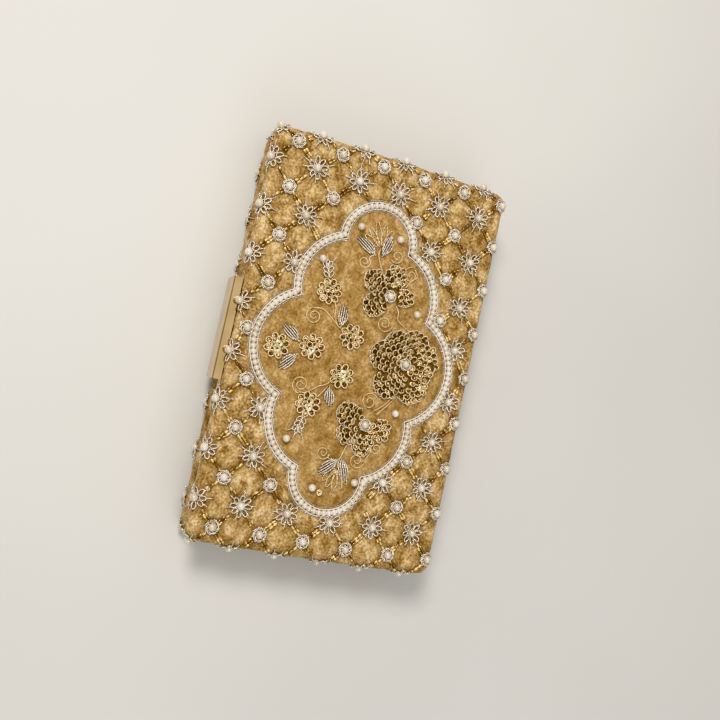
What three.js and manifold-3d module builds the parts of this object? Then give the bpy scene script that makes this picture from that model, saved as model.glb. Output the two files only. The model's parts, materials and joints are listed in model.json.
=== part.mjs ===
// Hard box clutch purse, lying on its back cover. Millimetres, +Z up.
// X runs along the purse, -Y is the clasp side, +Y is the hinge side, Z = 0 is the resting plane.
// Each half is a rigid shell with a metal rim at its mouth, satin lining inside, and wadding,
// velvet and beadwork outside. The halves meet at the seam, hinge along +Y and latch along -Y.
// "out" is the distance from the purse's centre line towards one long side, and "rise" is the
// distance from the seam: +1 is the front half above it, -1 the back half below it.
import * as THREE from "three";
import { mergeVertices } from "three/addons/utils/BufferGeometryUtils.js";
import Module from "manifold-3d";

const wasm = await Module();
wasm.setup();

// ---- driving dimensions ----
const COVER_HALF_LENGTH = 100; // velvet cover, half of its length along X
const COVER_HALF_WIDTH = 62.2; // velvet cover, half of its width along Y
const HALF_DEPTH = 14; // seam to the velvet face of either half
const BEAD_HEIGHT = 3; // beadwork stands this far off the velvet
const GAP = 0.2; // clearance between neighbouring pieces
const SEAM_GAP = 0.15; // each half stops this far short of the seam

const VELVET_WALL = 0.9;
const RIM_INSET = 0.3; // the rim's outer face is this far inside the velvet's
const RIM_HEIGHT = 4.5;
const RIM_LEG = 1.6;
const RIM_FLANGE = 0.8;
const RIM_FLANGE_REACH = 4.5; // from the rim's outer face to the flange's inner edge
const SHELL_WALL = 1.5;
const SHELL_FLOOR = 1.3;
const SHELL_OUT_INSET = 2.1; // from the velvet's outer face to the shell's
const SHELL_TOP = 1.15; // rise at which the shell's wall ends, under the rim's flange
const SHELL_DEPTH = 10.5;
const LINING_WALL = 0.8;
const WADDING_INSET = 2.4;

const HINGE_AXIS_OUT = 62.4;
const HINGE_X = 60; // the two hinges stand at +-60
const HINGE_LENGTH = 24;
const KNUCKLE_RADIUS = 1.25;
const KNUCKLE_MIDDLE = 9.8; // length of the middle knuckle
const KNUCKLE_GAP = 0.3;
const HINGE_PIN_RADIUS = 0.6;
const HINGE_BORE_RADIUS = 0.7;
const LEAF_THICKNESS = 0.9;
const LEAF_HEIGHT = 4.0;

const CLASP_LENGTH = 50;
const CLASP_OUT = 67;
const CLASP_CAP_IN = 62.5;
const CLASP_LEVER_IN = 63.3;
const CLASP_REACH = 9.4; // from the seam to the far wall of either half of the clasp
const CLASP_WALL = 1;
const CLASP_EDGE_RADIUS = 1.1;
const CLASP_PIN_OUT = 64;
const CLASP_PIN_RISE = 4.8;
const CLASP_PIN_RADIUS = 0.7;
const CLASP_BORE_RADIUS = 0.8;
const CLASP_EAR_X = 22.2;
const CLASP_EAR_THICKNESS = 1.4;
const CLASP_PLATE_IN = 62.1; // the hook's and the base's plates lie on the rims
const CLASP_PLATE_OUT = 62.9;
const CLASP_PLATE_RISE = 0.5; // plate edge next to the seam
const CLASP_PLATE_FAR_RISE = 4.3;
const HOOK_PLATE_HALF = 21;
const HOOK_HALF = 8;
const HOOK_IN = 64; // the tongue that hangs from the front half across the seam
const HOOK_OUT = 64.8;
const HOOK_CATCH_OUT = 65;
const HOOK_CATCH_RISE = 2.2; // the catch's near edge, below the seam
const HOOK_TIP_RISE = 3.3;
const HOOK_SHELF_RISE = 0.9;
const HOOK_SHELF_FAR_RISE = 1.8;
const TOOTH_HALF = 7;
const TOOTH_RISE = 0.7;
const TOOTH_FAR_RISE = 1.9;
const TOOTH_CLEARANCE = 0.3; // from the tooth to the catch, with the lever at rest
const BASE_PLATE_HALF = 23.2;
const EAR_IN = 62.5;
const EAR_OUT = 65.2;
const EAR_RISE = 1.4;
const EAR_FAR_RISE = 6.2;
const EAR_CLEAR_IN = 62.8; // clear of the velvet, which stands further out than the rim
const EAR_STEP_RISE = 3.8;
const RIVET_X = 17;
const RIVET_RISE = 2.6;
const RIVET_RADIUS = 0.7;
const RIVET_TIP_OUT = 60.4;
const RIVET_HEAD_IN = 63.1;
const RIVET_HEAD_OUT = 63.7;
const RIVET_HOLE_RADIUS = 0.95;
const RIVET_HEAD_RADIUS = 1.5;
const SPRING_X = 12; // middle of the torsion spring on the clasp's pin
const SPRING_LENGTH = 4.8;
const SPRING_COILS = 3;
const SPRING_RADIUS = 1.3;
const SPRING_WIRE_RADIUS = 0.25;
const SPRING_WINDOW_SIDE = 0.6; // room either side of the spring in the base's window

const LATTICE_PITCH_X = 23.2;
const LATTICE_PITCH_Y = 22;
const LATTICE_OFFSET_Y = 61.2; // a row of crossings stands this far from the centre line, on the hinge side
const LATTICE_COLUMNS = 6; // diagonals either side of the middle one
const LATTICE_BAR = 2.8;
const NET_EDGE = 1.5; // width of the cords that bound a net
const NET_INSET = 3; // the net stops this far inside the velvet's outline
const BORDER_WIDTH = 4;

const SEAM_Z = HALF_DEPTH + BEAD_HEIGHT + GAP;
const KNUCKLE_OUT = HINGE_AXIS_OUT + KNUCKLE_RADIUS;
const CENTRE_Y = (CLASP_OUT - KNUCKLE_OUT) / 2; // puts the origin under the middle of the whole object
const RIM_OUT = COVER_HALF_WIDTH - RIM_INSET;
const BEAD_RISE = HALF_DEPTH + GAP;

// The medallion's outline is the union of these lobes: [x, y, radius].
const MEDALLION_LOBES = [
  [0, 18, 32.3],
  [0, -18, 32.3],
  [37, 14.5, 21.8],
  [-37, 14.5, 21.8],
  [37, -14.5, 21.8],
  [-37, -14.5, 21.8],
  [59, 0, 20],
  [-59, 0, 20],
];

// Flowers inside the medallion: [name, x, y, radius, petals]. The stem side is -Y.
const FLOWERS = [
  ["center_flower", 0, 27, 18.5, 8],
  ["side_flower_left", 33, 12, 11.5, 7],
  ["side_flower_right", -33, 12, 11.5, 7],
  ["small_flower_1", 0, -38.5, 6.5, 8],
  ["small_flower_2", 0, -21.5, 6.5, 8],
  ["small_flower_3", 28, -18, 6.5, 8],
  ["small_flower_4", -28, -18, 6.5, 8],
  ["small_flower_5", 9.5, -3.5, 6, 8],
  ["small_flower_6", -9.5, -3.5, 6, 8],
];

// Stems of couched cord, each a run of points [x, y] from root to tip.
const STEMS = [
  ["vine_left", [[16, -8], [20, -13], [18, -19], [13, -24], [16, -28]]],
  ["vine_right", [[-16, -8], [-20, -13], [-18, -19], [-13, -24], [-16, -28]]],
  ["end_spray_left", [[47, 8], [53, 3], [58, -2], [64, -5], [71, -2]]],
  ["end_spray_right", [[-47, 8], [-53, 3], [-58, -2], [-64, -5], [-71, -2]]],
];

// ---- materials ----
function material(color, roughness, metalness) {
  return new THREE.MeshStandardMaterial({ color, roughness, metalness });
}

const velvetMaterial = material(0xcbae80, 0.95, 0);
const waddingMaterial = material(0xece7da, 1, 0);
const shellMaterial = material(0x6f6357, 0.6, 0);
const satinMaterial = material(0xd9c19b, 0.4, 0);
const goldMaterial = material(0xcbb088, 0.12, 1);
const steelMaterial = material(0xb9b9b6, 0.3, 1);
const beadMaterial = material(0xe9e1d2, 0.3, 0);
const goldThreadMaterial = material(0xb9924a, 0.35, 0.8);

// ---- solids ----
function solid(geometry) {
  const bare = geometry.index ? geometry.toNonIndexed() : geometry.clone();
  bare.deleteAttribute("normal");
  bare.deleteAttribute("uv");
  const merged = mergeVertices(bare, 1e-4);
  return new wasm.Manifold(
    new wasm.Mesh({
      numProp: 3,
      vertProperties: new Float32Array(merged.attributes.position.array),
      triVerts: new Uint32Array(merged.index.array),
    }),
  );
}

function union(solids) {
  return solids.reduce((sum, next) => sum.add(next));
}

function geometryOf(body) {
  const mesh = body.getMesh();
  const geometry = new THREE.BufferGeometry();
  geometry.setAttribute("position", new THREE.BufferAttribute(mesh.vertProperties, 3));
  geometry.setIndex(new THREE.BufferAttribute(mesh.triVerts, 1));
  return geometry;
}

const purse = new THREE.Group();
purse.position.y = CENTRE_Y;

function addPart(name, body, partMaterial) {
  const mesh = new THREE.Mesh(geometryOf(body), partMaterial);
  mesh.name = name;
  purse.add(mesh);
}

function zAt(side, rise) {
  return SEAM_Z + side * rise;
}

function block(x0, x1, y0, y1, z0, z1) {
  const geometry = new THREE.BoxGeometry(Math.abs(x1 - x0), Math.abs(y1 - y0), Math.abs(z1 - z0));
  geometry.translate((x0 + x1) / 2, (y0 + y1) / 2, (z0 + z1) / 2);
  return solid(geometry);
}

// A block on the clasp side, given by its distances out from the centre line and up or down from the seam.
function claspBlock(side, x0, x1, out0, out1, rise0, rise1) {
  return block(x0, x1, -out0, -out1, zAt(side, rise0), zAt(side, rise1));
}

function rodAlongX(x0, x1, y, z, radius, sides = 12) {
  const geometry = new THREE.CylinderGeometry(radius, radius, x1 - x0, sides);
  geometry.rotateZ(Math.PI / 2);
  geometry.translate((x0 + x1) / 2, y, z);
  return solid(geometry);
}

function rodAlongY(x, y0, y1, z, radius, sides = 12) {
  const geometry = new THREE.CylinderGeometry(radius, radius, Math.abs(y1 - y0), sides);
  geometry.translate(x, (y0 + y1) / 2, z);
  return solid(geometry);
}

function roundedRectangle(halfX, halfY, radius) {
  const shape = new THREE.Shape();
  const quarter = Math.PI / 2;
  shape.absarc(halfX - radius, halfY - radius, radius, 0, quarter);
  shape.absarc(radius - halfX, halfY - radius, radius, quarter, 2 * quarter);
  shape.absarc(radius - halfX, radius - halfY, radius, 2 * quarter, 3 * quarter);
  shape.absarc(halfX - radius, radius - halfY, radius, 3 * quarter, 4 * quarter);
  return shape;
}

function slab(shape, side, rise0, rise1, curveSegments = 5) {
  const depth = Math.abs(rise1 - rise0);
  const geometry = new THREE.ExtrudeGeometry(shape, { depth, bevelEnabled: false, curveSegments });
  geometry.translate(0, 0, Math.min(zAt(side, rise0), zAt(side, rise1)));
  return solid(geometry);
}

// A slab whose outline follows the velvet cover's, pulled in by inset.
function plate(side, inset, radius, rise0, rise1) {
  const shape = roundedRectangle(COVER_HALF_LENGTH - inset, COVER_HALF_WIDTH - inset, radius);
  return slab(shape, side, rise0, rise1);
}

// A solid through rounded rectangles: each section is [rise, inset, corner radius].
function loft(side, sections) {
  const rings = sections.map(([rise, inset, radius]) => {
    const shape = roundedRectangle(COVER_HALF_LENGTH - inset, COVER_HALF_WIDTH - inset, radius);
    return shape.extractPoints(5).shape.map((p) => [p.x, p.y, zAt(side, rise)]);
  });
  if (side < 0) rings.reverse();
  const count = rings[0].length;
  const positions = rings.flat(2);
  const faces = [];
  for (let ring = 0; ring + 1 < rings.length; ring++) {
    for (let i = 0; i < count; i++) {
      const a = ring * count + i;
      const b = ring * count + ((i + 1) % count);
      faces.push(a, b, b + count, a, b + count, a + count);
    }
  }
  const top = (rings.length - 1) * count;
  for (let i = 1; i + 1 < count; i++) {
    faces.push(0, i + 1, i);
    faces.push(top, top + i, top + i + 1);
  }
  const geometry = new THREE.BufferGeometry();
  geometry.setAttribute("position", new THREE.Float32BufferAttribute(positions, 3));
  geometry.setIndex(faces);
  return solid(geometry);
}

// ---- shell, rim, lining, wadding and velvet of one half ----
function shell(side) {
  const outer = plate(side, SHELL_OUT_INSET, 4.5, SHELL_TOP, SHELL_DEPTH);
  const inner = plate(side, SHELL_OUT_INSET + SHELL_WALL, 3.5, 0, SHELL_DEPTH - SHELL_FLOOR);
  return outer.subtract(inner);
}

function rim(side) {
  const inside = RIM_INSET + RIM_LEG;
  const top = SEAM_GAP + RIM_FLANGE;
  const outer = plate(side, RIM_INSET, 5, SEAM_GAP, RIM_HEIGHT);
  const underFlange = plate(side, inside, 4.5, top, RIM_HEIGHT + 1);
  const mouth = plate(side, RIM_INSET + RIM_FLANGE_REACH, 3, 0, RIM_HEIGHT + 1);
  let body = outer.subtract(underFlange).subtract(mouth);
  for (const x of [-HINGE_X, HINGE_X]) {
    const reach = HINGE_LENGTH / 2 + GAP;
    const floor = RIM_OUT - LEAF_THICKNESS - GAP;
    const recess = block(x - reach, x + reach, floor, RIM_OUT + 1, zAt(side, 0), zAt(side, RIM_HEIGHT + 1));
    body = body.subtract(recess);
  }
  for (const x of [-RIVET_X, RIVET_X]) {
    body = body.subtract(rivetHole(side, x));
  }
  return body;
}

function lining(side) {
  const inset = SHELL_OUT_INSET + SHELL_WALL + GAP;
  const deep = SHELL_DEPTH - SHELL_FLOOR - GAP;
  const outer = plate(side, inset, 3.3, SHELL_TOP + 0.05, deep);
  return outer.subtract(plate(side, inset + LINING_WALL, 2.6, 0, deep - LINING_WALL));
}

function wadding(side) {
  return plate(side, WADDING_INSET, 4, SHELL_DEPTH + GAP, HALF_DEPTH - VELVET_WALL - GAP);
}

function velvet(side) {
  const outer = loft(side, [
    [RIM_HEIGHT + GAP, 1, 5],
    [7, 0.1, 6],
    [9, 0, 6],
    [11.4, 0.2, 6],
    [13.1, 1, 5.6],
    [HALF_DEPTH, 2.6, 4.4],
  ]);
  const inner = plate(side, SHELL_OUT_INSET - GAP, 4.5, RIM_HEIGHT - 1, HALF_DEPTH - VELVET_WALL);
  return outer.subtract(inner);
}

// ---- beadwork ----
function netOutline(side, inset) {
  return plate(side, inset, 4, BEAD_RISE, BEAD_RISE + BEAD_HEIGHT);
}

function medallion(side, grow, rise0 = BEAD_RISE, rise1 = BEAD_RISE + BEAD_HEIGHT) {
  const lobes = MEDALLION_LOBES.map(([x, y, radius]) => {
    const shape = new THREE.Shape();
    shape.absarc(x, y, radius + grow, 0, 2 * Math.PI);
    return slab(shape, side, rise0, rise1, 10);
  });
  return union(lobes);
}

// Diagonal bars through the rosettes and stars of the lattice, bounded by an edge cord.
function lattice(side) {
  const run = Math.hypot(LATTICE_PITCH_X, LATTICE_PITCH_Y);
  const tilt = Math.atan2(LATTICE_PITCH_Y, LATTICE_PITCH_X);
  const bars = [];
  for (let column = -LATTICE_COLUMNS; column <= LATTICE_COLUMNS; column++) {
    for (const lean of [-1, 1]) {
      const geometry = new THREE.BoxGeometry(2 * LATTICE_COLUMNS * run, LATTICE_BAR, BEAD_HEIGHT);
      geometry.rotateZ(lean * tilt);
      const middle = zAt(side, BEAD_RISE + BEAD_HEIGHT / 2);
      geometry.translate(column * LATTICE_PITCH_X, LATTICE_OFFSET_Y - 3 * LATTICE_PITCH_Y, middle);
      bars.push(solid(geometry));
    }
  }
  const edge = netOutline(side, NET_INSET).subtract(netOutline(side, NET_INSET + NET_EDGE));
  return union(bars).intersect(netOutline(side, NET_INSET)).add(edge);
}

function frontNet() {
  const clear = BORDER_WIDTH / 2 + GAP;
  const cord = medallion(1, clear + NET_EDGE).subtract(medallion(1, clear));
  return lattice(1).subtract(medallion(1, clear, BEAD_RISE - 1, BEAD_RISE + BEAD_HEIGHT + 1)).add(cord);
}

function medallionBorder() {
  return medallion(1, BORDER_WIDTH / 2).subtract(medallion(1, -BORDER_WIDTH / 2));
}

function flower(x, y, radius, petals) {
  const reach = radius * 0.62;
  const petalRadius = reach * Math.sin(Math.PI / petals) * 1.12;
  const shapes = [];
  const heart = new THREE.Shape();
  heart.absarc(x, y, reach, 0, 2 * Math.PI);
  shapes.push(heart);
  for (let i = 0; i < petals; i++) {
    const angle = (2 * Math.PI * i) / petals;
    const petal = new THREE.Shape();
    const middle = radius - petalRadius;
    petal.absarc(x + middle * Math.cos(angle), y + middle * Math.sin(angle), petalRadius, 0, 2 * Math.PI);
    shapes.push(petal);
  }
  return union(shapes.map((shape) => slab(shape, 1, BEAD_RISE, BEAD_RISE + BEAD_HEIGHT - 0.5, 4)));
}

function stem(points) {
  const bars = [];
  for (let i = 0; i + 1 < points.length; i++) {
    const [x0, y0] = points[i];
    const [x1, y1] = points[i + 1];
    const geometry = new THREE.BoxGeometry(Math.hypot(x1 - x0, y1 - y0) + 2, 2, 1.6);
    geometry.rotateZ(Math.atan2(y1 - y0, x1 - x0));
    geometry.translate((x0 + x1) / 2, (y0 + y1) / 2, zAt(1, BEAD_RISE + 0.8));
    bars.push(solid(geometry));
  }
  return union(bars);
}

// ---- hinges ----
function hingeLeaf(side, x, spans) {
  const z = SEAM_Z;
  const y0 = RIM_OUT - LEAF_THICKNESS;
  const half = HINGE_LENGTH / 2;
  const clear = KNUCKLE_RADIUS + 0.25;
  const leaf = block(x - half, x + half, y0, RIM_OUT, zAt(side, clear), zAt(side, LEAF_HEIGHT + 0.3));
  const bodies = [leaf];
  for (const [x0, x1] of spans) {
    bodies.push(rodAlongX(x + x0, x + x1, HINGE_AXIS_OUT, z, KNUCKLE_RADIUS));
    bodies.push(block(x + x0, x + x1, y0 + 0.25, RIM_OUT, zAt(side, 0.2), zAt(side, clear + 0.2)));
  }
  return union(bodies).subtract(rodAlongX(x - 20, x + 20, HINGE_AXIS_OUT, z, HINGE_BORE_RADIUS));
}

function addHinge(name, x) {
  const half = HINGE_LENGTH / 2;
  const middle = KNUCKLE_MIDDLE / 2;
  const outerSpans = [
    [-half, -middle - KNUCKLE_GAP],
    [middle + KNUCKLE_GAP, half],
  ];
  addPart(name + "_back_leaf", hingeLeaf(-1, x, outerSpans), goldMaterial);
  addPart(name + "_front_leaf", hingeLeaf(1, x, [[-middle, middle]]), goldMaterial);
  const pin = rodAlongX(x - half, x + half, HINGE_AXIS_OUT, SEAM_Z, HINGE_PIN_RADIUS);
  addPart(name + "_pin", pin, steelMaterial);
}

// ---- clasp ----
// The section of either half of the clasp, with its outer edge rounded: x is "out", y is "rise".
function claspSection(inner, outer, rise0, rise1, radius) {
  const shape = new THREE.Shape();
  shape.moveTo(inner, rise0);
  shape.lineTo(outer, rise0);
  shape.lineTo(outer, rise1 - radius);
  shape.absarc(outer - radius, rise1 - radius, radius, 0, Math.PI / 2);
  shape.lineTo(inner, rise1);
  return shape;
}

function claspBar(side, shape, length) {
  const geometry = new THREE.ExtrudeGeometry(shape, { depth: length, bevelEnabled: false, curveSegments: 4 });
  const basis = new THREE.Matrix4().makeBasis(
    new THREE.Vector3(0, -1, 0),
    new THREE.Vector3(0, 0, side),
    new THREE.Vector3(-side, 0, 0),
  );
  geometry.applyMatrix4(basis);
  geometry.translate((side * length) / 2, 0, SEAM_Z);
  return solid(geometry);
}

function claspCover(side, inner) {
  const wall = CLASP_WALL;
  const outside = claspSection(inner, CLASP_OUT, SEAM_GAP, CLASP_REACH, CLASP_EDGE_RADIUS);
  const inside = claspSection(inner - 1, CLASP_OUT - wall, -1, CLASP_REACH - wall, CLASP_EDGE_RADIUS / 2);
  return claspBar(side, outside, CLASP_LENGTH).subtract(claspBar(side, inside, CLASP_LENGTH - 2 * wall));
}

function claspRod(x0, x1, radius) {
  return rodAlongX(x0, x1, -CLASP_PIN_OUT, zAt(-1, CLASP_PIN_RISE), radius);
}

function lever() {
  const cover = claspCover(-1, CLASP_LEVER_IN);
  const toothIn = HOOK_CATCH_OUT + TOOTH_CLEARANCE;
  const toothOut = CLASP_OUT - CLASP_WALL / 2;
  const tooth = claspBlock(-1, -TOOTH_HALF, TOOTH_HALF, toothIn, toothOut, TOOTH_RISE, TOOTH_FAR_RISE);
  return cover.add(tooth).subtract(claspBore());
}

function claspBore() {
  return claspRod(-CLASP_LENGTH, CLASP_LENGTH, CLASP_BORE_RADIUS);
}

function rivetHole(side, x) {
  const inner = RIM_OUT - 2 * RIM_LEG;
  return rodAlongY(x, -inner, -CLASP_PIN_OUT, zAt(side, RIVET_RISE), RIVET_HOLE_RADIUS);
}

// A plate of the clasp, lying on the rim and drilled for the rivets.
function claspPlate(side, halfLength) {
  const x = halfLength;
  return claspBlock(side, -x, x, CLASP_PLATE_IN, CLASP_PLATE_OUT, CLASP_PLATE_RISE, CLASP_PLATE_FAR_RISE);
}

function drilled(side, body) {
  return body.subtract(rivetHole(side, -RIVET_X)).subtract(rivetHole(side, RIVET_X));
}

function hook() {
  const x = HOOK_HALF;
  const shelf = claspBlock(1, -x, x, EAR_IN, HOOK_OUT, HOOK_SHELF_RISE, HOOK_SHELF_FAR_RISE);
  const tongue = block(-x, x, -HOOK_IN, -HOOK_OUT, zAt(1, HOOK_SHELF_FAR_RISE), zAt(-1, HOOK_TIP_RISE));
  const catchEdge = claspBlock(-1, -x, x, HOOK_IN, HOOK_CATCH_OUT, HOOK_CATCH_RISE, HOOK_TIP_RISE);
  return drilled(1, union([claspPlate(1, HOOK_PLATE_HALF), shelf, tongue, catchEdge]));
}

function claspBase() {
  const bodies = [claspPlate(-1, BASE_PLATE_HALF)];
  for (const x of [-CLASP_EAR_X, CLASP_EAR_X]) {
    const x0 = x - CLASP_EAR_THICKNESS / 2;
    const x1 = x + CLASP_EAR_THICKNESS / 2;
    bodies.push(claspBlock(-1, x0, x1, EAR_IN, EAR_OUT, EAR_RISE, EAR_STEP_RISE));
    bodies.push(claspBlock(-1, x0, x1, EAR_CLEAR_IN, EAR_OUT, EAR_STEP_RISE - 1, EAR_FAR_RISE));
  }
  const x0 = SPRING_X - SPRING_LENGTH / 2 - SPRING_WINDOW_SIDE;
  const x1 = SPRING_X + SPRING_LENGTH / 2 + SPRING_WINDOW_SIDE;
  const rise0 = CLASP_PIN_RISE - 2;
  const rise1 = CLASP_PLATE_FAR_RISE + 1;
  const window = claspBlock(-1, x0, x1, CLASP_PLATE_IN - 1, CLASP_PIN_OUT, rise0, rise1);
  return drilled(-1, union(bodies).subtract(claspBore()).subtract(window));
}

function rivet(side, x) {
  const z = zAt(side, RIVET_RISE);
  const head = rodAlongY(x, -RIVET_HEAD_IN, -RIVET_HEAD_OUT, z, RIVET_HEAD_RADIUS);
  const shank = rodAlongY(x, -RIVET_TIP_OUT, -RIVET_HEAD_OUT, z, RIVET_RADIUS);
  return head.add(shank);
}

// The coils of the torsion spring round the clasp's pin.
class SpringPath extends THREE.Curve {
  getPoint(t, target = new THREE.Vector3()) {
    const angle = 2 * Math.PI * SPRING_COILS * t;
    return target.set(
      SPRING_X + SPRING_LENGTH * (t - 0.5),
      -CLASP_PIN_OUT - SPRING_RADIUS * Math.cos(angle),
      zAt(-1, CLASP_PIN_RISE) + SPRING_RADIUS * Math.sin(angle),
    );
  }
}

function spring() {
  const section = new THREE.Shape();
  section.absarc(0, 0, SPRING_WIRE_RADIUS, 0, 2 * Math.PI);
  const geometry = new THREE.ExtrudeGeometry(section, {
    extrudePath: new SpringPath(),
    steps: 12 * SPRING_COILS,
    curveSegments: 3,
    bevelEnabled: false,
  });
  return solid(geometry);
}

function addClasp() {
  addPart("clasp_catch_cap", claspCover(1, CLASP_CAP_IN), goldMaterial);
  addPart("clasp_hook", hook(), steelMaterial);
  addPart("clasp_lever", lever(), goldMaterial);
  addPart("clasp_base", claspBase(), steelMaterial);
  const end = CLASP_LENGTH / 2;
  addPart("clasp_pin", claspRod(-end, end, CLASP_PIN_RADIUS), steelMaterial);
  addPart("clasp_spring", spring(), steelMaterial);
  for (const [half, side] of [["front", 1], ["back", -1]]) {
    addPart("clasp_rivet_" + half + "_left", rivet(side, RIVET_X), steelMaterial);
    addPart("clasp_rivet_" + half + "_right", rivet(side, -RIVET_X), steelMaterial);
  }
}

// ---- the whole purse ----
for (const [half, side] of [["back", -1], ["front", 1]]) {
  addPart(half + "_shell", shell(side), shellMaterial);
  addPart(half + "_rim", rim(side), goldMaterial);
  addPart(half + "_lining", lining(side), satinMaterial);
  addPart(half + "_wadding", wadding(side), waddingMaterial);
  addPart(half + "_velvet", velvet(side), velvetMaterial);
}
addPart("back_bead_net", lattice(-1), beadMaterial);
addPart("front_bead_net", frontNet(), beadMaterial);
addPart("medallion_border", medallionBorder(), beadMaterial);
for (const [name, x, y, radius, petals] of FLOWERS) {
  addPart(name, flower(x, y, radius, petals), goldThreadMaterial);
}
for (const [name, points] of STEMS) {
  addPart(name, stem(points), goldThreadMaterial);
}
addHinge("hinge_left", HINGE_X);
addHinge("hinge_right", -HINGE_X);
addClasp();

export default purse;
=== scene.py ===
import json
import math

import bpy
import numpy as np
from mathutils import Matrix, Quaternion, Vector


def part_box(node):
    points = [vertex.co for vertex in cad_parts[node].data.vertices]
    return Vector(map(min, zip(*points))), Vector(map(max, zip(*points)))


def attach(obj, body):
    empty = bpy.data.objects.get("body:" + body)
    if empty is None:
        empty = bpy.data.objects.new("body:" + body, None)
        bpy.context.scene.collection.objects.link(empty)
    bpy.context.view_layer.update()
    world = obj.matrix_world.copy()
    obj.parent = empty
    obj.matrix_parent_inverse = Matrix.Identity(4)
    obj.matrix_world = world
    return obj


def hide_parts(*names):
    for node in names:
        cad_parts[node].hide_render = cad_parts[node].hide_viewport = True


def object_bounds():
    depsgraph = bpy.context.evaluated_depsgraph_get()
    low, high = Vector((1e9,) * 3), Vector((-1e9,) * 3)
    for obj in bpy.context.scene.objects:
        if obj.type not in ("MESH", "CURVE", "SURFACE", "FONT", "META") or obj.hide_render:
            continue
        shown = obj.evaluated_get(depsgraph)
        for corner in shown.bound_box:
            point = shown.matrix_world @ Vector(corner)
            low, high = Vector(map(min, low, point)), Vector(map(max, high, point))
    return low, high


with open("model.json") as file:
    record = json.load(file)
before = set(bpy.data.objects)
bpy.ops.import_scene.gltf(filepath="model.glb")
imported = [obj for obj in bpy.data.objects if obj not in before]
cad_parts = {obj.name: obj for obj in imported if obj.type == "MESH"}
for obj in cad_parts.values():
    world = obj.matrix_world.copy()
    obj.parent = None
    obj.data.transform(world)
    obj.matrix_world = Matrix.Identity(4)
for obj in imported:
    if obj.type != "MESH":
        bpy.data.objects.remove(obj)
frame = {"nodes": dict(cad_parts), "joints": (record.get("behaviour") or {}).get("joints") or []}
cad_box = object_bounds()

# The looks of the clutch purse: padded velvet covers, sewn beadwork, polished rims and clasp, and a
# satin lining. A cover has its own frame, in millimetres: u along the purse, v across it towards the
# hinges, and rise from the seam. The back cover is the front one turned half round the purse's length.

# ---- sizes, from the frame ----
MM = 0.001
FRONT = 1
BACK = -1
HALVES = (("front", FRONT), ("back", BACK))

velvet_low, velvet_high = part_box("front_velvet")
lid = next(j for j in frame["joints"] if j["name"] == "lid_open")
CENTRE_Y = (velvet_low.y + velvet_high.y) / 2
SEAM_Z = lid["pos_m"][2]
HALF_X = (velvet_high.x - velvet_low.x) / 2 / MM
HALF_Y = (velvet_high.y - velvet_low.y) / 2 / MM
COVER_RISE = (velvet_high.z - SEAM_Z) / MM
EDGE_RISE = (velvet_low.z - SEAM_Z) / MM

# ---- the cover's shape ----
CORNER = 4.4  # corner radius, seen from the front
ROLL = 4.2  # radius of the rolled edge round the front
TUCK = 0.9  # radius where the velvet turns in above the rim
TUCK_DEPTH = 1.4  # the hem runs in this far under the tuck
SWELL = 1.1  # the padding stands out past the rim by this much
CLASP_HOLLOW = 1.2  # the velvet is pressed in by this much behind the clasp,
CLASP_HALF = 27.0  # over this half length,
CLASP_TOP = 11.5  # and up to this rise,
CLASP_FADE = 3.0  # and comes back over this much more
CLASP_ROW = -55.0  # stars past this place are beside the clasp,
CLASP_REACH = 6.0  # as far as this past the hollow's end
BOW_END = 1.2  # the padded ends swell out in the middle by this much
BOW_START = 75.0  # distance from the middle at which the swelling begins
GROOVE = -0.35  # height of the velvet along the lattice, off the nominal face
PUFF = 1.0  # height of a cell's middle over the lattice
VALLEY = 0.2  # how softly the velvet turns at the bottom of a groove
CRUSH = 0.16  # height of the crushed pile's unevenness
MEDALLION_EDGE = 0.15  # height of the velvet just inside the medallion's border
MEDALLION_SWELL = 0.55  # and how much higher it stands in the medallion's middle
BORDER_DENT = 0.5  # the border presses it down by this much,
BORDER_DENT_WIDTH = 2.4  # over this distance to either side
GRID_STEP = 0.95  # between the grid lines of the velvet's flat front
EDGE_LINES = 30  # grid lines from there round each edge

# ---- the lattice of beadwork ----
COLUMN_PITCH = 11.85
COLUMN_SHIFT = -1.8  # place of column 0
LAST_COLUMN = 9  # columns run from minus this to this
COLUMNS_CLOSE = (-92.5, 0.55)  # past this place the columns close up to this share of their pitch
ROW_START = 60.4  # place of row 0, beside the hinges
ROW_PITCH = 11.2
LAST_ROW = 11

# ---- the medallion: its outline is the union of these lobes, [u, v, radius] ----
MEDALLION_CENTRE = (0.9, -1.2)
MEDALLION_LOBES = (
    (0, 22.4, 29.5),
    (0, -23, 28),
    (32.5, 9, 27.2),
    (-32.5, 9, 27.2),
    (32.5, -9, 27.2),
    (-32.5, -9, 27.2),
    (59.3, 0, 18.3),
    (-59.3, 0, 18.3),
)
BORDER_PEARL = (1.36, 1.72, 1.45)  # half sizes: along the row, across it and up
BORDER_PITCH = 2.66
BORDER_LIFT = 1.2
# A strand of the border: distance from the outline, step between its points, lift, radius and sides.
MIDDLE_CORD = (0, 0.9, 0.75, 1.0, 8)
SIDE_CORD = (1.75, 0.7, 0.6, 0.3, 6)
SIDE_THREAD = (2.55, 0.9, 0.36, 0.15, 5)
OUTLINE_NEAREST = 28.0  # the outline comes no nearer the medallion's middle than this
BARE_NODES = ((6, 4),)  # crossings of the front with no bead
NODE_CLEARANCE = 4.6  # stars and rosettes keep this far from the medallion's outline,
NODE_INSIDE = -0.9  # and those nearer its middle than this are left out

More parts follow.
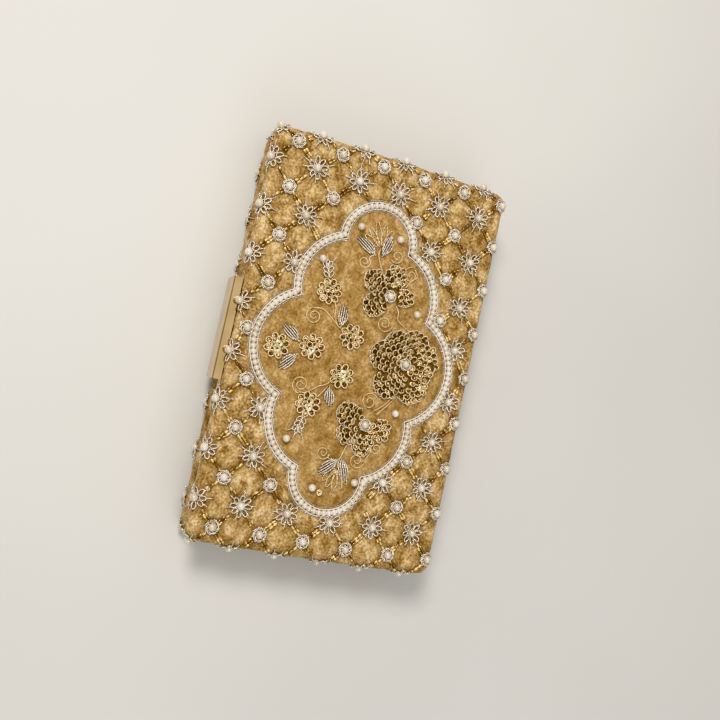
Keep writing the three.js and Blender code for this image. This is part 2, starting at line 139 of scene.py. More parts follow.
# ---- the medallion's flowers ----
# Places are given as (across, up): millimetres from the flowers' origin towards the cover's right end,
# and from there towards the clasp, as the cover is seen with the clasp uppermost.
# A sewn flower is its middle, its petals as (heading in degrees, reach, half width) and the sweep of
# the cord round each petal's tip in radians.
FLOWER_ORIGIN = (1.3, 57.4)
PETAL_ROOT = 2.6  # a petal starts this far from its flower's middle
BIG_PETALS = (
    (35, 17.4, 7.2),
    (81, 19.4, 7.8),
    (147, 20.6, 7.8),
    (206, 20.2, 8.2),
    (250, 15.5, 6.5),
    (293, 17.6, 8),
    (343, 18.2, 7.6),
)
BIG_FLOWER = ((3.3, 31.6), BIG_PETALS, 1.25)
RIGHT_FLOWER = ((34.8, 47.2), ((59, 17, 5.2), (-3, 15.6, 5.2), (-83, 12.6, 4.2), (129, 15, 5.8)), 2.1)
LEFT_FLOWER = ((-30.6, 46), ((71, 16, 5.8), (-97, 13.6, 4.9), (183, 15.6, 5), (124, 15, 5)), 2.1)
SEWN_FLOWERS = (BIG_FLOWER, RIGHT_FLOWER, LEFT_FLOWER)
# A small flower is (across, up, loops, reach, bright spangles at its heart).
SMALL_FLOWERS = (
    (29.7, 78.6, 9, 6.3, 0),
    (10.5, 62.3, 9, 6.3, 0),
    (-2, 98.3, 8, 6.2, 2),
    (1.3, 81.2, 8, 6.3, 1),
    (-9.5, 63.2, 8, 6.2, 2),
    (-26.4, 77, 9, 6.2, 1),
)
# A leaf is (across, up, heading, length), from its root.
LEAVES = (
    (13.7, 69, 1, 11.5),
    (2.4, 88, 53, 11.5),
    (-3.7, 87.4, 137, 12),
    (-15.4, 68.2, 190, 10.5),
    (53, 59.2, 56, 13.5),
    (53.1, 55.8, -17, 12.5),
    (-49.6, 55.3, 131, 13.5),
    (-48.6, 54.3, 200, 13),
)
LEAF_SPACING = 1.15  # between the wires of a leaf
LEAF_WIRES = 5
# A fan is (across, up, heading, spread in degrees, length), from its root.
FANS = ((56.5, 57, 21, 84, 14), (-53, 55.2, 180, 76, 13))
FAN_BLADES = 5
BUDS = ((36.4, 80.2, 18), (-33, 78, 166))  # across, up and heading
BUD_PAIRS = 3
BUD_PITCH = 2.4
STEMS = (
    ((11.5, 65), (14, 70), (18, 75.5), (20.5, 80), (20, 84.5)),
    ((26, 75), (22.5, 73.5), (18, 73), (15, 71)),
    ((-11, 66), (-15, 70), (-17, 74), (-21, 79), (-21.5, 83)),
    ((-22, 73), (-19, 71), (-16, 69)),
    ((40, 50), (46, 54), (53, 57.5), (57, 57.3)),
    ((-34, 49), (-41, 52.5), (-50, 55), (-54, 55.2)),
    ((41, 40), (44.5, 38), (48, 35), (51.5, 37)),
    ((31, 43), (28, 41), (24.5, 40.5), (22, 37), (20, 33)),
    ((-14, 33), (-19, 36.5), (-24.8, 41.2)),
    ((-15.5, 35.5), (-19.5, 38.5), (-23, 43)),
    ((-14.2, 46.5), (-13.5, 42), (-12.5, 38)),
    ((-38, 41), (-43, 40), (-47, 41.5)),
    ((-51, 57), (-50, 61), (-48, 60.6)),
    ((53, 60), (51, 62), (49, 61)),
)
# A scroll is (across, up, radius, heading of its outer end, turns, hand).
SCROLLS = (
    (16.2, 83.4, 4.2, 20, 1.7, 1),
    (-17.7, 82.6, 4.4, 180, 1.7, -1),
    (48.4, 64.2, 3.4, -60, 1.5, -1),
    (55.2, 47.8, 3.6, 120, 1.5, 1),
    (48, 38.5, 4.2, 0, 1.4, 1),
    (20.9, 46.9, 4.4, -90, 1.6, -1),
    (-18.8, 46.1, 4.6, -70, 1.6, 1),
    (-48, 64.1, 3.6, -90, 1.6, -1),
    (-48.7, 46.1, 4.2, -90, 1.5, -1),
    (-41, 37.5, 3.2, 60, 1.4, 1),
)
LOOSE_PEARLS = ((64.8, 69.7), (63.9, 48.2), (29.4, 31.1), (-22, 31.3))
LOOSE_PEARLS += ((-59.7, 45), (-65.7, 65.8), (44.4, 85.3), (-44.6, 83.8))
LOOSE_SPANGLE = (-67.5, 61.5)


# ---- small helpers ----
def smoothstep(low, high, x):
    t = np.clip((x - low) / (high - low), 0, 1)
    return t * t * (3 - 2 * t)


def lattice_noise(u, v, size, seed):
    """Smooth random heights about 0, with bumps of the given size in millimetres."""
    cells = np.random.default_rng(seed).standard_normal((512, 512))
    x, y = u / size + 256, v / size + 256
    i, j = np.floor(x).astype(int), np.floor(y).astype(int)
    s, t = smoothstep(0, 1, x - i), smoothstep(0, 1, y - j)
    low = cells[i, j] * (1 - s) + cells[i + 1, j] * s
    high = cells[i, j + 1] * (1 - s) + cells[i + 1, j + 1] * s
    return low * (1 - t) + high * t


def column_u(index):
    start, share = COLUMNS_CLOSE
    u = COLUMN_SHIFT + COLUMN_PITCH * np.asarray(index, float)
    return np.where(u < start, start + share * (u - start), u)


def row_v(index):
    return ROW_START - ROW_PITCH * index


COLUMN_INDICES = np.arange(-LAST_COLUMN - 1, LAST_COLUMN + 2)


def column_at(u):
    return np.interp(u, column_u(COLUMN_INDICES), COLUMN_INDICES)


def row_at(v):
    return (ROW_START - v) / ROW_PITCH


def node_distance(u, v):
    """Distance from the nearest star or rosette of the lattice."""
    i, j = np.round(column_at(u)), np.round(row_at(v))
    nearest = np.full(np.shape(u), np.inf)
    for a, b in ((0, 0), (1, 0), (-1, 0), (0, 1), (0, -1)):
        distance = np.hypot(u - column_u(i + a), v - row_v(j + b))
        nearest = np.where((i + a + j + b) % 2 == 0, np.minimum(nearest, distance), nearest)
    return nearest


def medallion_distance(u, v):
    """Distance outside the medallion's outline, negative inside."""
    x, y = u - MEDALLION_CENTRE[0], v - MEDALLION_CENTRE[1]
    return np.min([np.hypot(x - a, y - b) - r for a, b, r in MEDALLION_LOBES], axis=0)


def place(across, up):
    """A place given as (across, up), in the cover's own frame."""
    return FLOWER_ORIGIN[0] - across, FLOWER_ORIGIN[1] - up


def heading(degrees):
    """A direction in the (across, up) frame, as one in the cover's own frame."""
    return math.radians(degrees + 180)


def off_from(root, direction, along, beside=0.0):
    """The place this far along a direction from the root, and beside it."""
    c, s = math.cos(direction), math.sin(direction)
    return root[0] + along * c - beside * s, root[1] + along * s + beside * c


def seen_from(root, direction, u, v):
    """How far (u, v) lies along a direction from the root, and beside it."""
    c, s = math.cos(direction), math.sin(direction)
    return (u - root[0]) * c + (v - root[1]) * s, (v - root[1]) * c - (u - root[0]) * s


def full_turn(number):
    """Angles at even steps round a circle."""
    return np.linspace(0, 2 * math.pi, number, endpoint=False)


def petal_axes(middle, degrees, reach):
    """A petal's middle, half its length, and its direction."""
    half_long = (reach - PETAL_ROOT) / 2
    direction = heading(degrees)
    return off_from(place(*middle), direction, reach - half_long), half_long, direction


def under_flowers(u, v):
    """1 where the velvet is covered by a flower, 0 in the open."""
    cover = np.zeros(np.shape(u))
    for middle, petals, _ in SEWN_FLOWERS:
        for degrees, reach, half_wide in petals:
            petal, half_long, direction = petal_axes(middle, degrees, reach)
            along, beside = seen_from(petal, direction, u, v)
            within = np.hypot(along / half_long, beside / half_wide)
            cover = np.maximum(cover, smoothstep(1.08, 0.94, within))
    for across, up, _, reach, _ in SMALL_FLOWERS:
        mu, mv = place(across, up)
        within = np.hypot(u - mu, v - mv) / reach
        cover = np.maximum(cover, 0.8 * smoothstep(1.0, 0.8, within))
    for across, up, degrees, length in LEAVES:
        along, beside = seen_from(place(across, up), heading(degrees), u, v)
        within = np.hypot((along - length / 2) / (length / 2), beside / (2.2 * LEAF_SPACING))
        cover = np.maximum(cover, 0.7 * smoothstep(1.1, 0.7, within))
    return cover


# ---- the cover's surface ----
def edge_profile():
    """The cover's section from its flat front round the rolled edge and under it, as four rows:

    length along the section, plan past the corner's centre, rise, and tilt of the surface.
    """
    quarter = np.linspace(0, math.pi / 2, 10)
    wall = np.linspace(0, 1, 8)[1:-1]
    wall_top, wall_foot = COVER_RISE - ROLL, EDGE_RISE + TUCK
    roll = CORNER - ROLL + (ROLL + SWELL) * np.sin(quarter)
    plan = [[0.0], roll, CORNER + SWELL * np.cos(wall * math.pi / 2)]
    rise = [[COVER_RISE], wall_top + ROLL * np.cos(quarter), wall_top + (wall_foot - wall_top) * wall]
    tilt = [[0.0], quarter, math.pi / 2 + 0 * wall]
    plan += [CORNER - TUCK + TUCK * np.cos(quarter), [CORNER - TUCK - TUCK_DEPTH]]
    rise += [wall_foot - TUCK * np.sin(quarter), [EDGE_RISE]]
    tilt += [math.pi / 2 + quarter, [math.pi]]
    plan, rise, tilt = (np.concatenate(a) for a in (plan, rise, tilt))
    length = np.concatenate([[0], np.cumsum(np.hypot(np.diff(plan), np.diff(rise)))])
    return length, plan, rise, tilt


PROFILE = edge_profile()
PROFILE_LENGTH = PROFILE[0][-1]


def puff(u, v, side):
    """Height of the quilted velvet off the nominal face."""
    i, j = column_at(u), row_at(v)
    cell = np.abs(np.sin((i + j) * math.pi / 2) * np.sin((i - j) * math.pi / 2))
    height = GROOVE + PUFF * (np.sqrt(cell**2 + VALLEY**2) - VALLEY) / (math.hypot(1, VALLEY) - VALLEY)
    if side == FRONT:
        distance = medallion_distance(u, v)
        inside = MEDALLION_EDGE + MEDALLION_SWELL * smoothstep(1, 16, -distance)
        height = height + (inside - height) * smoothstep(2.5, -1.5, distance)
        height = height - BORDER_DENT * np.exp(-((distance / BORDER_DENT_WIDTH) ** 2))
    return height


def on_cover(u, v, lift, side):
    """Points on a cover, lifted off its velvet, and the outward normals there."""
    u, v, lift = np.broadcast_arrays(np.asarray(u, float), np.asarray(v, float), np.asarray(lift, float))
    core_u = np.clip(u, CORNER - HALF_X, HALF_X - CORNER)
    core_v = np.clip(v, CORNER - HALF_Y, HALF_Y - CORNER)
    past_u, past_v = u - core_u, v - core_v
    reach = np.maximum(abs(past_u), abs(past_v))
    turn = np.minimum(abs(past_u), abs(past_v)) / np.maximum(reach, 1e-9) * math.pi / 4
    turn = np.where(abs(past_u) >= abs(past_v), turn, math.pi / 2 - turn)
    out_u, out_v = np.cos(turn) * np.sign(past_u), np.sin(turn) * np.sign(past_v)
    length, plan, rise, tilt = PROFILE
    plan, rise, tilt = (np.interp(reach, length, a) for a in (plan, rise, tilt))
    normal = np.stack([out_u * np.sin(tilt), out_v * np.sin(tilt), np.cos(tilt)], axis=-1)
    bow = BOW_END * (1 - (v / (HALF_Y + PROFILE_LENGTH)) ** 2) * smoothstep(BOW_START, HALF_X, abs(u))
    base = np.stack([core_u + out_u * plan + np.sign(u) * bow, core_v + out_v * plan, rise], axis=-1)
    quilted = puff(u, v, side) * smoothstep(1.3, 0.4, tilt)
    behind_clasp = smoothstep(CLASP_HALF + CLASP_FADE, CLASP_HALF, abs(u)) * (past_v < 0)
    below_top = smoothstep(CLASP_TOP + CLASP_FADE, CLASP_TOP, rise)
    hollow = CLASP_HOLLOW * behind_clasp * below_top * np.sin(np.minimum(tilt, math.pi / 2))
    return base + normal * (quilted + lift - hollow)[..., None], normal


def to_world(points, side):
    """From a cover's own frame, in millimetres, to the purse's, in metres."""
    x, y, rise = np.moveaxis(np.asarray(points, float), -1, 0)
    return np.stack([side * x * MM, y * MM + CENTRE_Y, SEAM_Z + side * rise * MM], axis=-1)


# ---- meshes ----
def make_object(name, vertices, faces, material, along=None):
    """A mesh object from vertex rows and a list of index arrays, one array for each number of corners."""
    mesh = bpy.data.meshes.new(name)
    mesh.vertices.add(len(vertices))
    mesh.vertices.foreach_set("co", np.asarray(vertices, np.float32).ravel())
    totals = np.concatenate([np.full(len(f), f.shape[1]) for f in faces])
    mesh.loops.add(int(totals.sum()))
    mesh.loops.foreach_set("vertex_index", np.concatenate([f.ravel() for f in faces]).astype(np.int32))
    mesh.polygons.add(len(totals))
    starts = np.concatenate([[0], np.cumsum(totals)[:-1]])
    mesh.polygons.foreach_set("loop_start", starts.astype(np.int32))
    mesh.polygons.foreach_set("use_smooth", np.full(len(totals), True))
    mesh.update(calc_edges=True)
    if along is not None:
        attribute = mesh.attributes.new("along", "FLOAT", "POINT")
        attribute.data.foreach_set("value", np.asarray(along, np.float32))
    mesh.materials.append(material)
    mesh.validate()
    made = bpy.data.objects.new(name, mesh)
    bpy.context.scene.collection.objects.link(made)
    return made


def grid_faces(rows, columns, close_rows=False, close_columns=False):
    """The four-cornered faces between the vertices of a grid, which may close on itself either way."""
    row_cells = np.arange(rows if close_rows else rows - 1)
    column_cells = np.arange(columns if close_columns else columns - 1)
    a, b = (cells.ravel() for cells in np.meshgrid(row_cells, column_cells, indexing="ij"))
    c, d = (a + 1) % rows, (b + 1) % columns
    return np.column_stack([a * columns + b, c * columns + b, c * columns + d, a * columns + d])


def unit(vectors):
    return vectors / np.maximum(np.linalg.norm(vectors, axis=-1, keepdims=True), 1e-12)


class Strands:
    """Wires, cords and threads of round section on one cover, gathered into one mesh."""

    def __init__(self, side):
        self.side = side
        self.vertices, self.quads, self.caps, self.along = [], [], {}, []
        self.count = 0

    def lay(self, u, v, lift, radius, sides, closed=False, taper=0.0):
        """A strand through these places; taper is the share of its radius that it loses by its end."""
        points, normals = on_cover(u, v, lift, self.side)
        number = len(points)
        before, after = np.roll(points, 1, axis=0), np.roll(points, -1, axis=0)
        if not closed:
            before[0], after[-1] = points[0], points[-1]
        forward = unit(after - before)
        across = unit(np.cross(forward, normals))
        up = np.cross(across, forward)
        angle = full_turn(sides)[None, :, None]
        size = radius * (1 - taper * np.linspace(0, 1, number)[:, None, None])
        ring = np.cos(angle) * across[:, None] + np.sin(angle) * up[:, None]
        self.vertices.append((points[:, None] + size * ring).reshape(-1, 3))
        steps = np.linalg.norm(np.diff(points, axis=0), axis=1)
        self.along.append(np.repeat(np.concatenate([[0], np.cumsum(steps)]), sides))
        self.quads.append(grid_faces(number, sides, closed, True) + self.count)
        if not closed:
            ends = [np.arange(sides)[::-1], np.arange(sides) + (number - 1) * sides]
            self.caps.setdefault(sides, []).extend(e + self.count for e in ends)
        self.count += number * sides

    def finish(self, name, material):
        faces = [np.concatenate(self.quads)] + [np.array(rows) for rows in self.caps.values()]
        faces = [f[:, ::-1] for f in faces]
        vertices = to_world(np.concatenate(self.vertices), self.side)
        return make_object(name, vertices, faces, material, np.concatenate(self.along))


class Copies:
    """Rigid copies of one small mesh, such as a pearl, placed on one cover and gathered into one mesh."""

    def __init__(self, side, template):
        self.side, self.template = side, template
        self.vertices = []

    def put(self, u, v, lift, turn=0.0, lean=(0.0, 0.0), scale=1.0):
        """Adds a copy; lean tips its own up axis towards its own x and y axes, as slopes."""
        (middle, beside), normals = on_cover([u, u + 0.05], [v, v], lift, self.side)
        up = normals[0]
        east = unit(beside - middle - up * np.dot(beside - middle, up))
        north = np.cross(up, east)
        own_x = east * math.cos(turn) + north * math.sin(turn)
        own_y = np.cross(up, own_x)
        own_z = unit(up + lean[0] * own_x + lean[1] * own_y)
        own_x = unit(own_x - own_z * np.dot(own_x, own_z))
        axes = np.stack([own_x, np.cross(own_z, own_x), own_z])
        self.vertices.append(middle + (self.template[0] * scale) @ axes)

    def finish(self, name, material):
        number = len(self.template[0])
        steps = np.arange(len(self.vertices))[:, None, None] * number
        faces = [(f[None] + steps).reshape(-1, f.shape[1]) for f in self.template[1]]
        vertices = to_world(np.concatenate(self.vertices), self.side)
        return make_object(name, vertices, faces, material)


def lathe(profile, sides):
    """A closed mesh turned round its own z axis: the profile runs from axis to axis as [radius, z]."""
    angle = full_turn(sides)
    rings = [[(r * math.cos(a), r * math.sin(a), z) for a in angle] for r, z in profile[1:-1]]
    vertices = np.array(rings).reshape(-1, 3)
    low, high = len(vertices), len(vertices) + 1
    vertices = np.vstack([vertices, [[0, 0, profile[0][1]], [0, 0, profile[-1][1]]]])
    quads = grid_faces(len(rings), sides, False, True)[:, ::-1]
    k = np.arange(sides)
    first = np.column_stack([np.full(sides, low), (k + 1) % sides, k])
    last_ring = (len(rings) - 1) * sides
    last = np.column_stack([np.full(sides, high), last_ring + k, last_ring + (k + 1) % sides])
    return vertices, [quads, np.vstack([first, last])]


def ring_mesh(section, sides):
    """A closed ring turned round its own z axis from a closed section of [radius, z]."""
    angle = full_turn(sides)
    vertices = np.array([[(r * math.cos(a), r * math.sin(a), z) for a in angle] for r, z in section])
    return vertices.reshape(-1, 3), [grid_faces(len(section), sides, True, True)[:, ::-1]]


def ball(radius, rings, sides):
    bow = np.linspace(-math.pi / 2, math.pi / 2, rings + 1)
    return lathe([(radius * math.cos(b), radius * math.sin(b)) for b in bow], sides)


def along_x(template):
    """The same mesh with its own z axis laid along x."""
    x, y, z = template[0].T
    return np.column_stack([z, x, y]), template[1]


def border_bead():
    """An oval seed pearl, longest across its row."""
    vertices, faces = ball(1.0, 8, 14)
    return vertices * BORDER_PEARL, faces


def bugle_bead():
    """A short glass tube, dimpled at its bore."""
    half = BUGLE_LENGTH / 2
    radius = BUGLE_RADIUS
    end = [(0, half - 0.25), (0.45 * radius, half - 0.1), (0.8 * radius, half), (radius, half - 0.15)]
    return along_x(lathe([(r, -z) for r, z in end] + end[::-1], 8))


def cupped_disc(underside, thickness, sides):
    """A disc with a hole, from the [radius, z] of its underside, from the hole outwards."""
    return ring_mesh(underside + [(r, z + thickness) for r, z in underside[::-1]], sides)


PEARL_RADIUS = 2.0
BUGLE_LENGTH, BUGLE_RADIUS = 2.2, 0.66
PEARL_BALL = ball(PEARL_RADIUS, 10, 18)
BORDER_BEAD = border_bead()
BUGLE_BEAD = bugle_bead()
SEQUIN_DISC = cupped_disc([(0.32, 0.02), (0.75, -0.1), (1.32, 0.16)], 0.08, 14)
SPANGLE_DISC = cupped_disc([(0.36, 0.0), (1.2, -0.1), (1.95, 0.14)], 0.1, 20)


# ---- materials ----
def srgb(red, green, blue):
    """A screen colour, 0 to 255, as the linear and opaque colour that shaders use."""
    return (*(((c / 255 + 0.055) / 1.055) ** 2.4 for c in (red, green, blue)), 1)


class Nodes:
    """A material's node tree, with short calls to fill it."""

    def __init__(self, name):
        self.material = bpy.data.materials.new(name)
        self.material.use_nodes = True
        self.tree = self.material.node_tree
        self.shader = next(n for n in self.tree.nodes if n.type == "BSDF_PRINCIPLED")

    def feed(self, socket, value):
        """Links a socket to another node's output, or sets it to a plain value."""
        if isinstance(value, bpy.types.NodeSocket):
            self.tree.links.new(value, socket)
        else:
            socket.default_value = value

    def add(self, kind, inputs, **settings):
        node = self.tree.nodes.new(kind)
        for name, value in settings.items():
            setattr(node, name, value)
        for name, value in inputs.items():
            self.feed(node.inputs[name], value)
        return node

    def surface(self, **inputs):
        for name, value in inputs.items():
            self.feed(self.shader.inputs[name.replace("_", " ")], value)

    def noise(self, scale, detail, stretch=None):
        """A noise pattern with this many bumps a metre."""
        where = self.add("ShaderNodeTexCoord", {}).outputs["Object"]
        if stretch:
            where = self.add("ShaderNodeMapping", {"Scale": stretch, "Vector": where}).outputs["Vector"]
        inputs = {"Scale": scale, "Detail": detail, "Vector": where}
        return self.add("ShaderNodeTexNoise", inputs).outputs["Fac"]

    def ramp(self, source, *stops):
        """Colours by value: each stop is (position, red, green, blue), as a screen colour."""
        node = self.add("ShaderNodeValToRGB", {"Fac": source})
        elements = node.color_ramp.elements
        while len(elements) < len(stops):
            elements.new(0.5)
        for element, (position, *color) in zip(elements, stops):
            element.position = position
            element.color = srgb(*color)
        return node.outputs["Color"]

    def spread(self, source, low, high, to_low, to_high):
        """The source's range from low to high, spread from to_low to to_high."""
        inputs = {"Value": source, "From Min": low, "From Max": high, "To Min": to_low, "To Max": to_high}
        return self.add("ShaderNodeMapRange", inputs).outputs["Result"]

    def mix(self, factor, a, b):
        """Colour a where the factor is 0, and b where it is 1."""
        return self.add("ShaderNodeMix", {0: factor, 6: a, 7: b}, data_type="RGBA").outputs[2]

    def math(self, operation, a, b=0.0):
        return self.add("ShaderNodeMath", {0: a, 1: b}, operation=operation).outputs["Value"]

    def attribute(self, name):
        return self.add("ShaderNodeAttribute", {}, attribute_name=name).outputs["Fac"]

    def bump(self, height, distance, strength):
        node = self.add("ShaderNodeBump", {"Height": height, "Distance": distance, "Strength": strength})
        self.surface(Normal=node.outputs["Normal"])


def patterned(name, tone, stops, grain, gloss, bump=None, **surface):
    """A material with one noise pattern for its colour and another for its gloss and bump.

    tone and grain are (scale, detail) or (scale, detail, stretch), stops are the colours by value,
    gloss is the range of roughness, and bump is (distance, strength).
    """
    n = Nodes(name)
    fine = n.noise(*grain)
    n.surface(Base_Color=n.ramp(n.noise(*tone), *stops), Roughness=n.spread(fine, 0.3, 0.7, *gloss))
    n.surface(**surface)
    if bump:
        n.bump(fine, *bump)
    return n.material


def velvet_material():
    n = Nodes("crushed_velvet")
    tufts = n.noise(900, 4)
    fibres = n.noise(2600, 3)
    patches = n.noise(150, 4, (1, 1.3, 1))
    tone = n.math("ADD", n.math("MULTIPLY", patches, 0.5), n.math("MULTIPLY", tufts, 0.5))
    open_pile = n.ramp(
        tone, (0.38, 126, 94, 52), (0.46, 168, 134, 85), (0.54, 196, 163, 112), (0.63, 235, 208, 160)
    )
    medallion_pile = n.ramp(
        tone, (0.38, 134, 102, 59), (0.46, 160, 126, 78), (0.54, 179, 144, 94), (0.63, 206, 175, 126)
    )
    pile = n.mix(n.attribute("warmth"), open_pile, medallion_pile)
    # The pile is mixed towards a dark brown by a vertex attribute: painted shade in the grooves, beside the
    # medallion's border, round the stars and rosettes and under the flowers.
    n.surface(Base_Color=n.mix(n.attribute("painted_shade"), pile, srgb(84, 54, 22)))
    n.surface(Roughness=n.spread(fibres, 0.3, 0.7, 0.75, 0.95), Specular_IOR_Level=0.2)
    n.surface(Sheen_Weight=0.2, Sheen_Roughness=0.35, Sheen_Tint=(1.0, 0.88, 0.66, 1))
    n.bump(n.math("ADD", n.math("MULTIPLY", tufts, 0.8), n.math("MULTIPLY", fibres, 0.45)), 0.0008, 1.0)
    return n.material


def pearl_material():
    stops = (0.38, 214, 198, 174), (0.5, 226, 213, 193), (0.62, 236, 226, 210)
    coat = {"Coat_Weight": 0.6, "Coat_Roughness": 0.08}
    return patterned("pearl", (90, 2), stops, (400, 2), (0.16, 0.28), Metallic=0.25, **coat)


def wire_material(name, bright, middle, dark, roughness, coils):
    """Bullion wire: a fine spring of metal thread, with this many coils a millimetre."""
    n = Nodes(name)
    ridge = n.math("SINE", n.math("MULTIPLY", n.attribute("along"), 2 * math.pi * coils))
    tarnish = n.noise(700, 3)
    metal = n.ramp(tarnish, (0.35, *middle), (0.62, *bright))
    # Between the coils the metal colour is mixed towards the dark colour: painted shade in the gaps of the
    # spring.
    n.surface(Base_Color=n.mix(n.spread(ridge, -1, 1, 0.55, 0.0), metal, srgb(*dark)), Metallic=0.55)
    n.surface(Roughness=n.spread(tarnish, 0.3, 0.7, roughness - 0.06, roughness + 0.1))
    n.bump(ridge, 0.00008, 0.6)
    return n.material


def cord_material():
    n = Nodes("white_satin_cord")
    twist = n.math("SINE", n.math("MULTIPLY", n.attribute("along"), 2 * math.pi / CORD_TWIST))
    # The colour darkens along the twist's grooves: painted shade between the strands.
    n.surface(Base_Color=n.ramp(n.spread(twist, -1, 1, 0, 1), (0.1, 222, 208, 184), (0.45, 246, 240, 228)))
    n.surface(Roughness=n.spread(n.noise(1800, 2), 0.3, 0.7, 0.3, 0.5), Sheen_Weight=0.3)
    n.bump(twist, 0.00015, 0.6)
    return n.material


def bugle_material():
    stops = (0.4, 118, 84, 36), (0.5, 164, 126, 62), (0.6, 236, 206, 142)
    coat = {"Coat_Weight": 0.8, "Coat_Roughness": 0.05}
    return patterned("amber_bugle_bead", (260, 1), stops, (1500, 2), (0.12, 0.3), Metallic=0.4, **coat)


def sequin_material(name, dull, middle, bright, roughness):
    stops = (0.4, *dull), (0.5, *middle), (0.62, *bright)
    return patterned(name, (330, 1), stops, (900, 2), (roughness, roughness + 0.16), Metallic=0.8)


def polished_metal():
    n = Nodes("polished_pale_gold")
    hairlines = n.noise(900, 2, (1, 14, 14))
    n.surface(Base_Color=n.ramp(n.noise(60, 3), (0.35, 200, 170, 122), (0.65, 220, 192, 146)))
    n.surface(Roughness=n.spread(hairlines, 0.3, 0.75, 0.1, 0.2), Metallic=1.0)
    n.bump(hairlines, 0.00002, 0.25)
    return n.material


def steel_material():
    stops = (0.35, 168, 166, 162), (0.65, 206, 204, 198)
    grain = (1400, 2, (1, 10, 10))
    return patterned("bright_steel", (150, 3), stops, grain, (0.22, 0.42), (0.00002, 0.4), Metallic=1.0)


def satin_material():
    stops = (0.3, 206, 176, 130), (0.5, 216, 188, 144), (0.7, 226, 201, 159)
    threads = (3200, 2, (1, 0.12, 1))
    shine = {"Sheen_Weight": 0.4, "Sheen_Roughness": 0.3, "Anisotropic": 0.4}
    return patterned("satin_lining", (40, 3), stops, threads, (0.28, 0.42), (0.00008, 0.5), **shine)


def shell_material():
    stops = (0.35, 104, 92, 80), (0.65, 122, 110, 97)
    return patterned("moulded_shell", (120, 3), stops, (2200, 2), (0.5, 0.65), (0.00005, 0.5))


def wadding_material():
    stops = (0.35, 224, 218, 204), (0.65, 244, 240, 230)
    return patterned("wadding", (380, 5), stops, (380, 5), (0.85, 1.0), (0.0006, 0.9))


def floor_material():
    n = Nodes("pale_floor")
    n.surface(Base_Color=n.ramp(n.noise(3, 2), (0.4, 205, 202, 196), (0.6, 211, 208, 202)), Roughness=0.7)
    return n.material


CORD_TWIST = 0.9  # length of one turn of the cord's strands
VELVET = velvet_material()
PEARLS = pearl_material()
# The last colour of each bullion wire is the painted shade between its coils.
SILVER_WIRE = wire_material("silver_bullion", (255, 249, 236), (228, 214, 192), (122, 92, 60), 0.22, 1.6)
GOLD_WIRE = wire_material("gold_bullion", (255, 238, 202), (232, 202, 152), (142, 104, 64), 0.24, 1.6)
THREAD = wire_material("champagne_thread", (255, 232, 188), (220, 186, 132), (130, 94, 52), 0.36, 1.4)
BUGLES = bugle_material()
SEQUINS = sequin_material("antique_sequin", (100, 74, 42), (150, 117, 71), (238, 214, 162), 0.14)
SPANGLES = sequin_material("bright_spangle", (206, 176, 112), (236, 216, 166), (250, 242, 218), 0.1)
CORD = cord_material()
GOLD = polished_metal()
STEEL = steel_material()
SATIN = satin_material()
SHELL = shell_material()
WADDING = wadding_material()


# ---- velvet covers ----
VELVET_THICK = 0.4
CRUSH_NOISE = ((2.3, 11, 0.6), (1.2, 12, 0.4))  # size of the bumps, seed and share
FAR_OFF = 99.0  # distance of the back cover from the medallion
# Painted shade on the velvet: how much its colour is darkened where shade falls.
GROOVE_SHADE = 0.26  # how much darker the velvet is along the grooves,
BORDER_SHADE, BORDER_SHADE_WIDTH = 0.3, 2.6  # beside the medallion's border,
NODE_SHADE, NODE_SHADE_WIDTH = 0.24, 4.6  # round the lattice's stars and rosettes,
FLOWER_SHADE = 0.75  # and under the flowers


def cover_lines(half):
    """Grid lines across a cover: even over the front, closer round the edge."""
    flat = half - CORNER
    number = int(2 * flat / GRID_STEP)
    edge = flat + np.linspace(0, PROFILE_LENGTH, EDGE_LINES + 1)[1:]
    return np.concatenate([-edge[::-1], np.linspace(-flat, flat, number), edge])


def add_velvet(half, side):
    us, vs = cover_lines(HALF_X), cover_lines(HALF_Y)
    u, v = (a.ravel() for a in np.meshgrid(us, vs, indexing="ij"))
    crush = sum(share * lattice_noise(u, v, size, seed) for size, seed, share in CRUSH_NOISE)
    points, _ = on_cover(u, v, CRUSH * crush, side)
    faces = [grid_faces(len(us), len(vs))]
    made = make_object(half + "_velvet_cover", to_world(points, side), faces, VELVET)
    distance = medallion_distance(u, v) if side == FRONT else np.full(len(u), FAR_OFF)
    warmth = smoothstep(3, -3, distance)
    # Painted shade, kept as a vertex attribute: the velvet's colour darkens in the grooves, beside the
    # border, round the stars and rosettes and under the flowers.
    low = smoothstep(0.25, GROOVE, puff(u, v, side)) * smoothstep(1, 4, distance)
    painted_shade = GROOVE_SHADE * low + BORDER_SHADE * np.exp(-((distance / BORDER_SHADE_WIDTH) ** 2))
    if side == FRONT:
        painted_shade += FLOWER_SHADE * under_flowers(u, v)
    around_node = np.exp(-((node_distance(u, v) / NODE_SHADE_WIDTH) ** 2))
    painted_shade += NODE_SHADE * around_node * smoothstep(1, 4, distance)
    for name, values in (("warmth", warmth), ("painted_shade", painted_shade)):
        attribute = made.data.attributes.new(name, "FLOAT", "POINT")
        attribute.data.foreach_set("value", values.astype(np.float32))
    thick = made.modifiers.new("cloth", "SOLIDIFY")
    thick.thickness = VELVET_THICK * MM
    thick.offset = -1
    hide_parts(half + "_velvet")
    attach(made, half + "_half")


for half, side in HALVES:
    add_velvet(half, side)


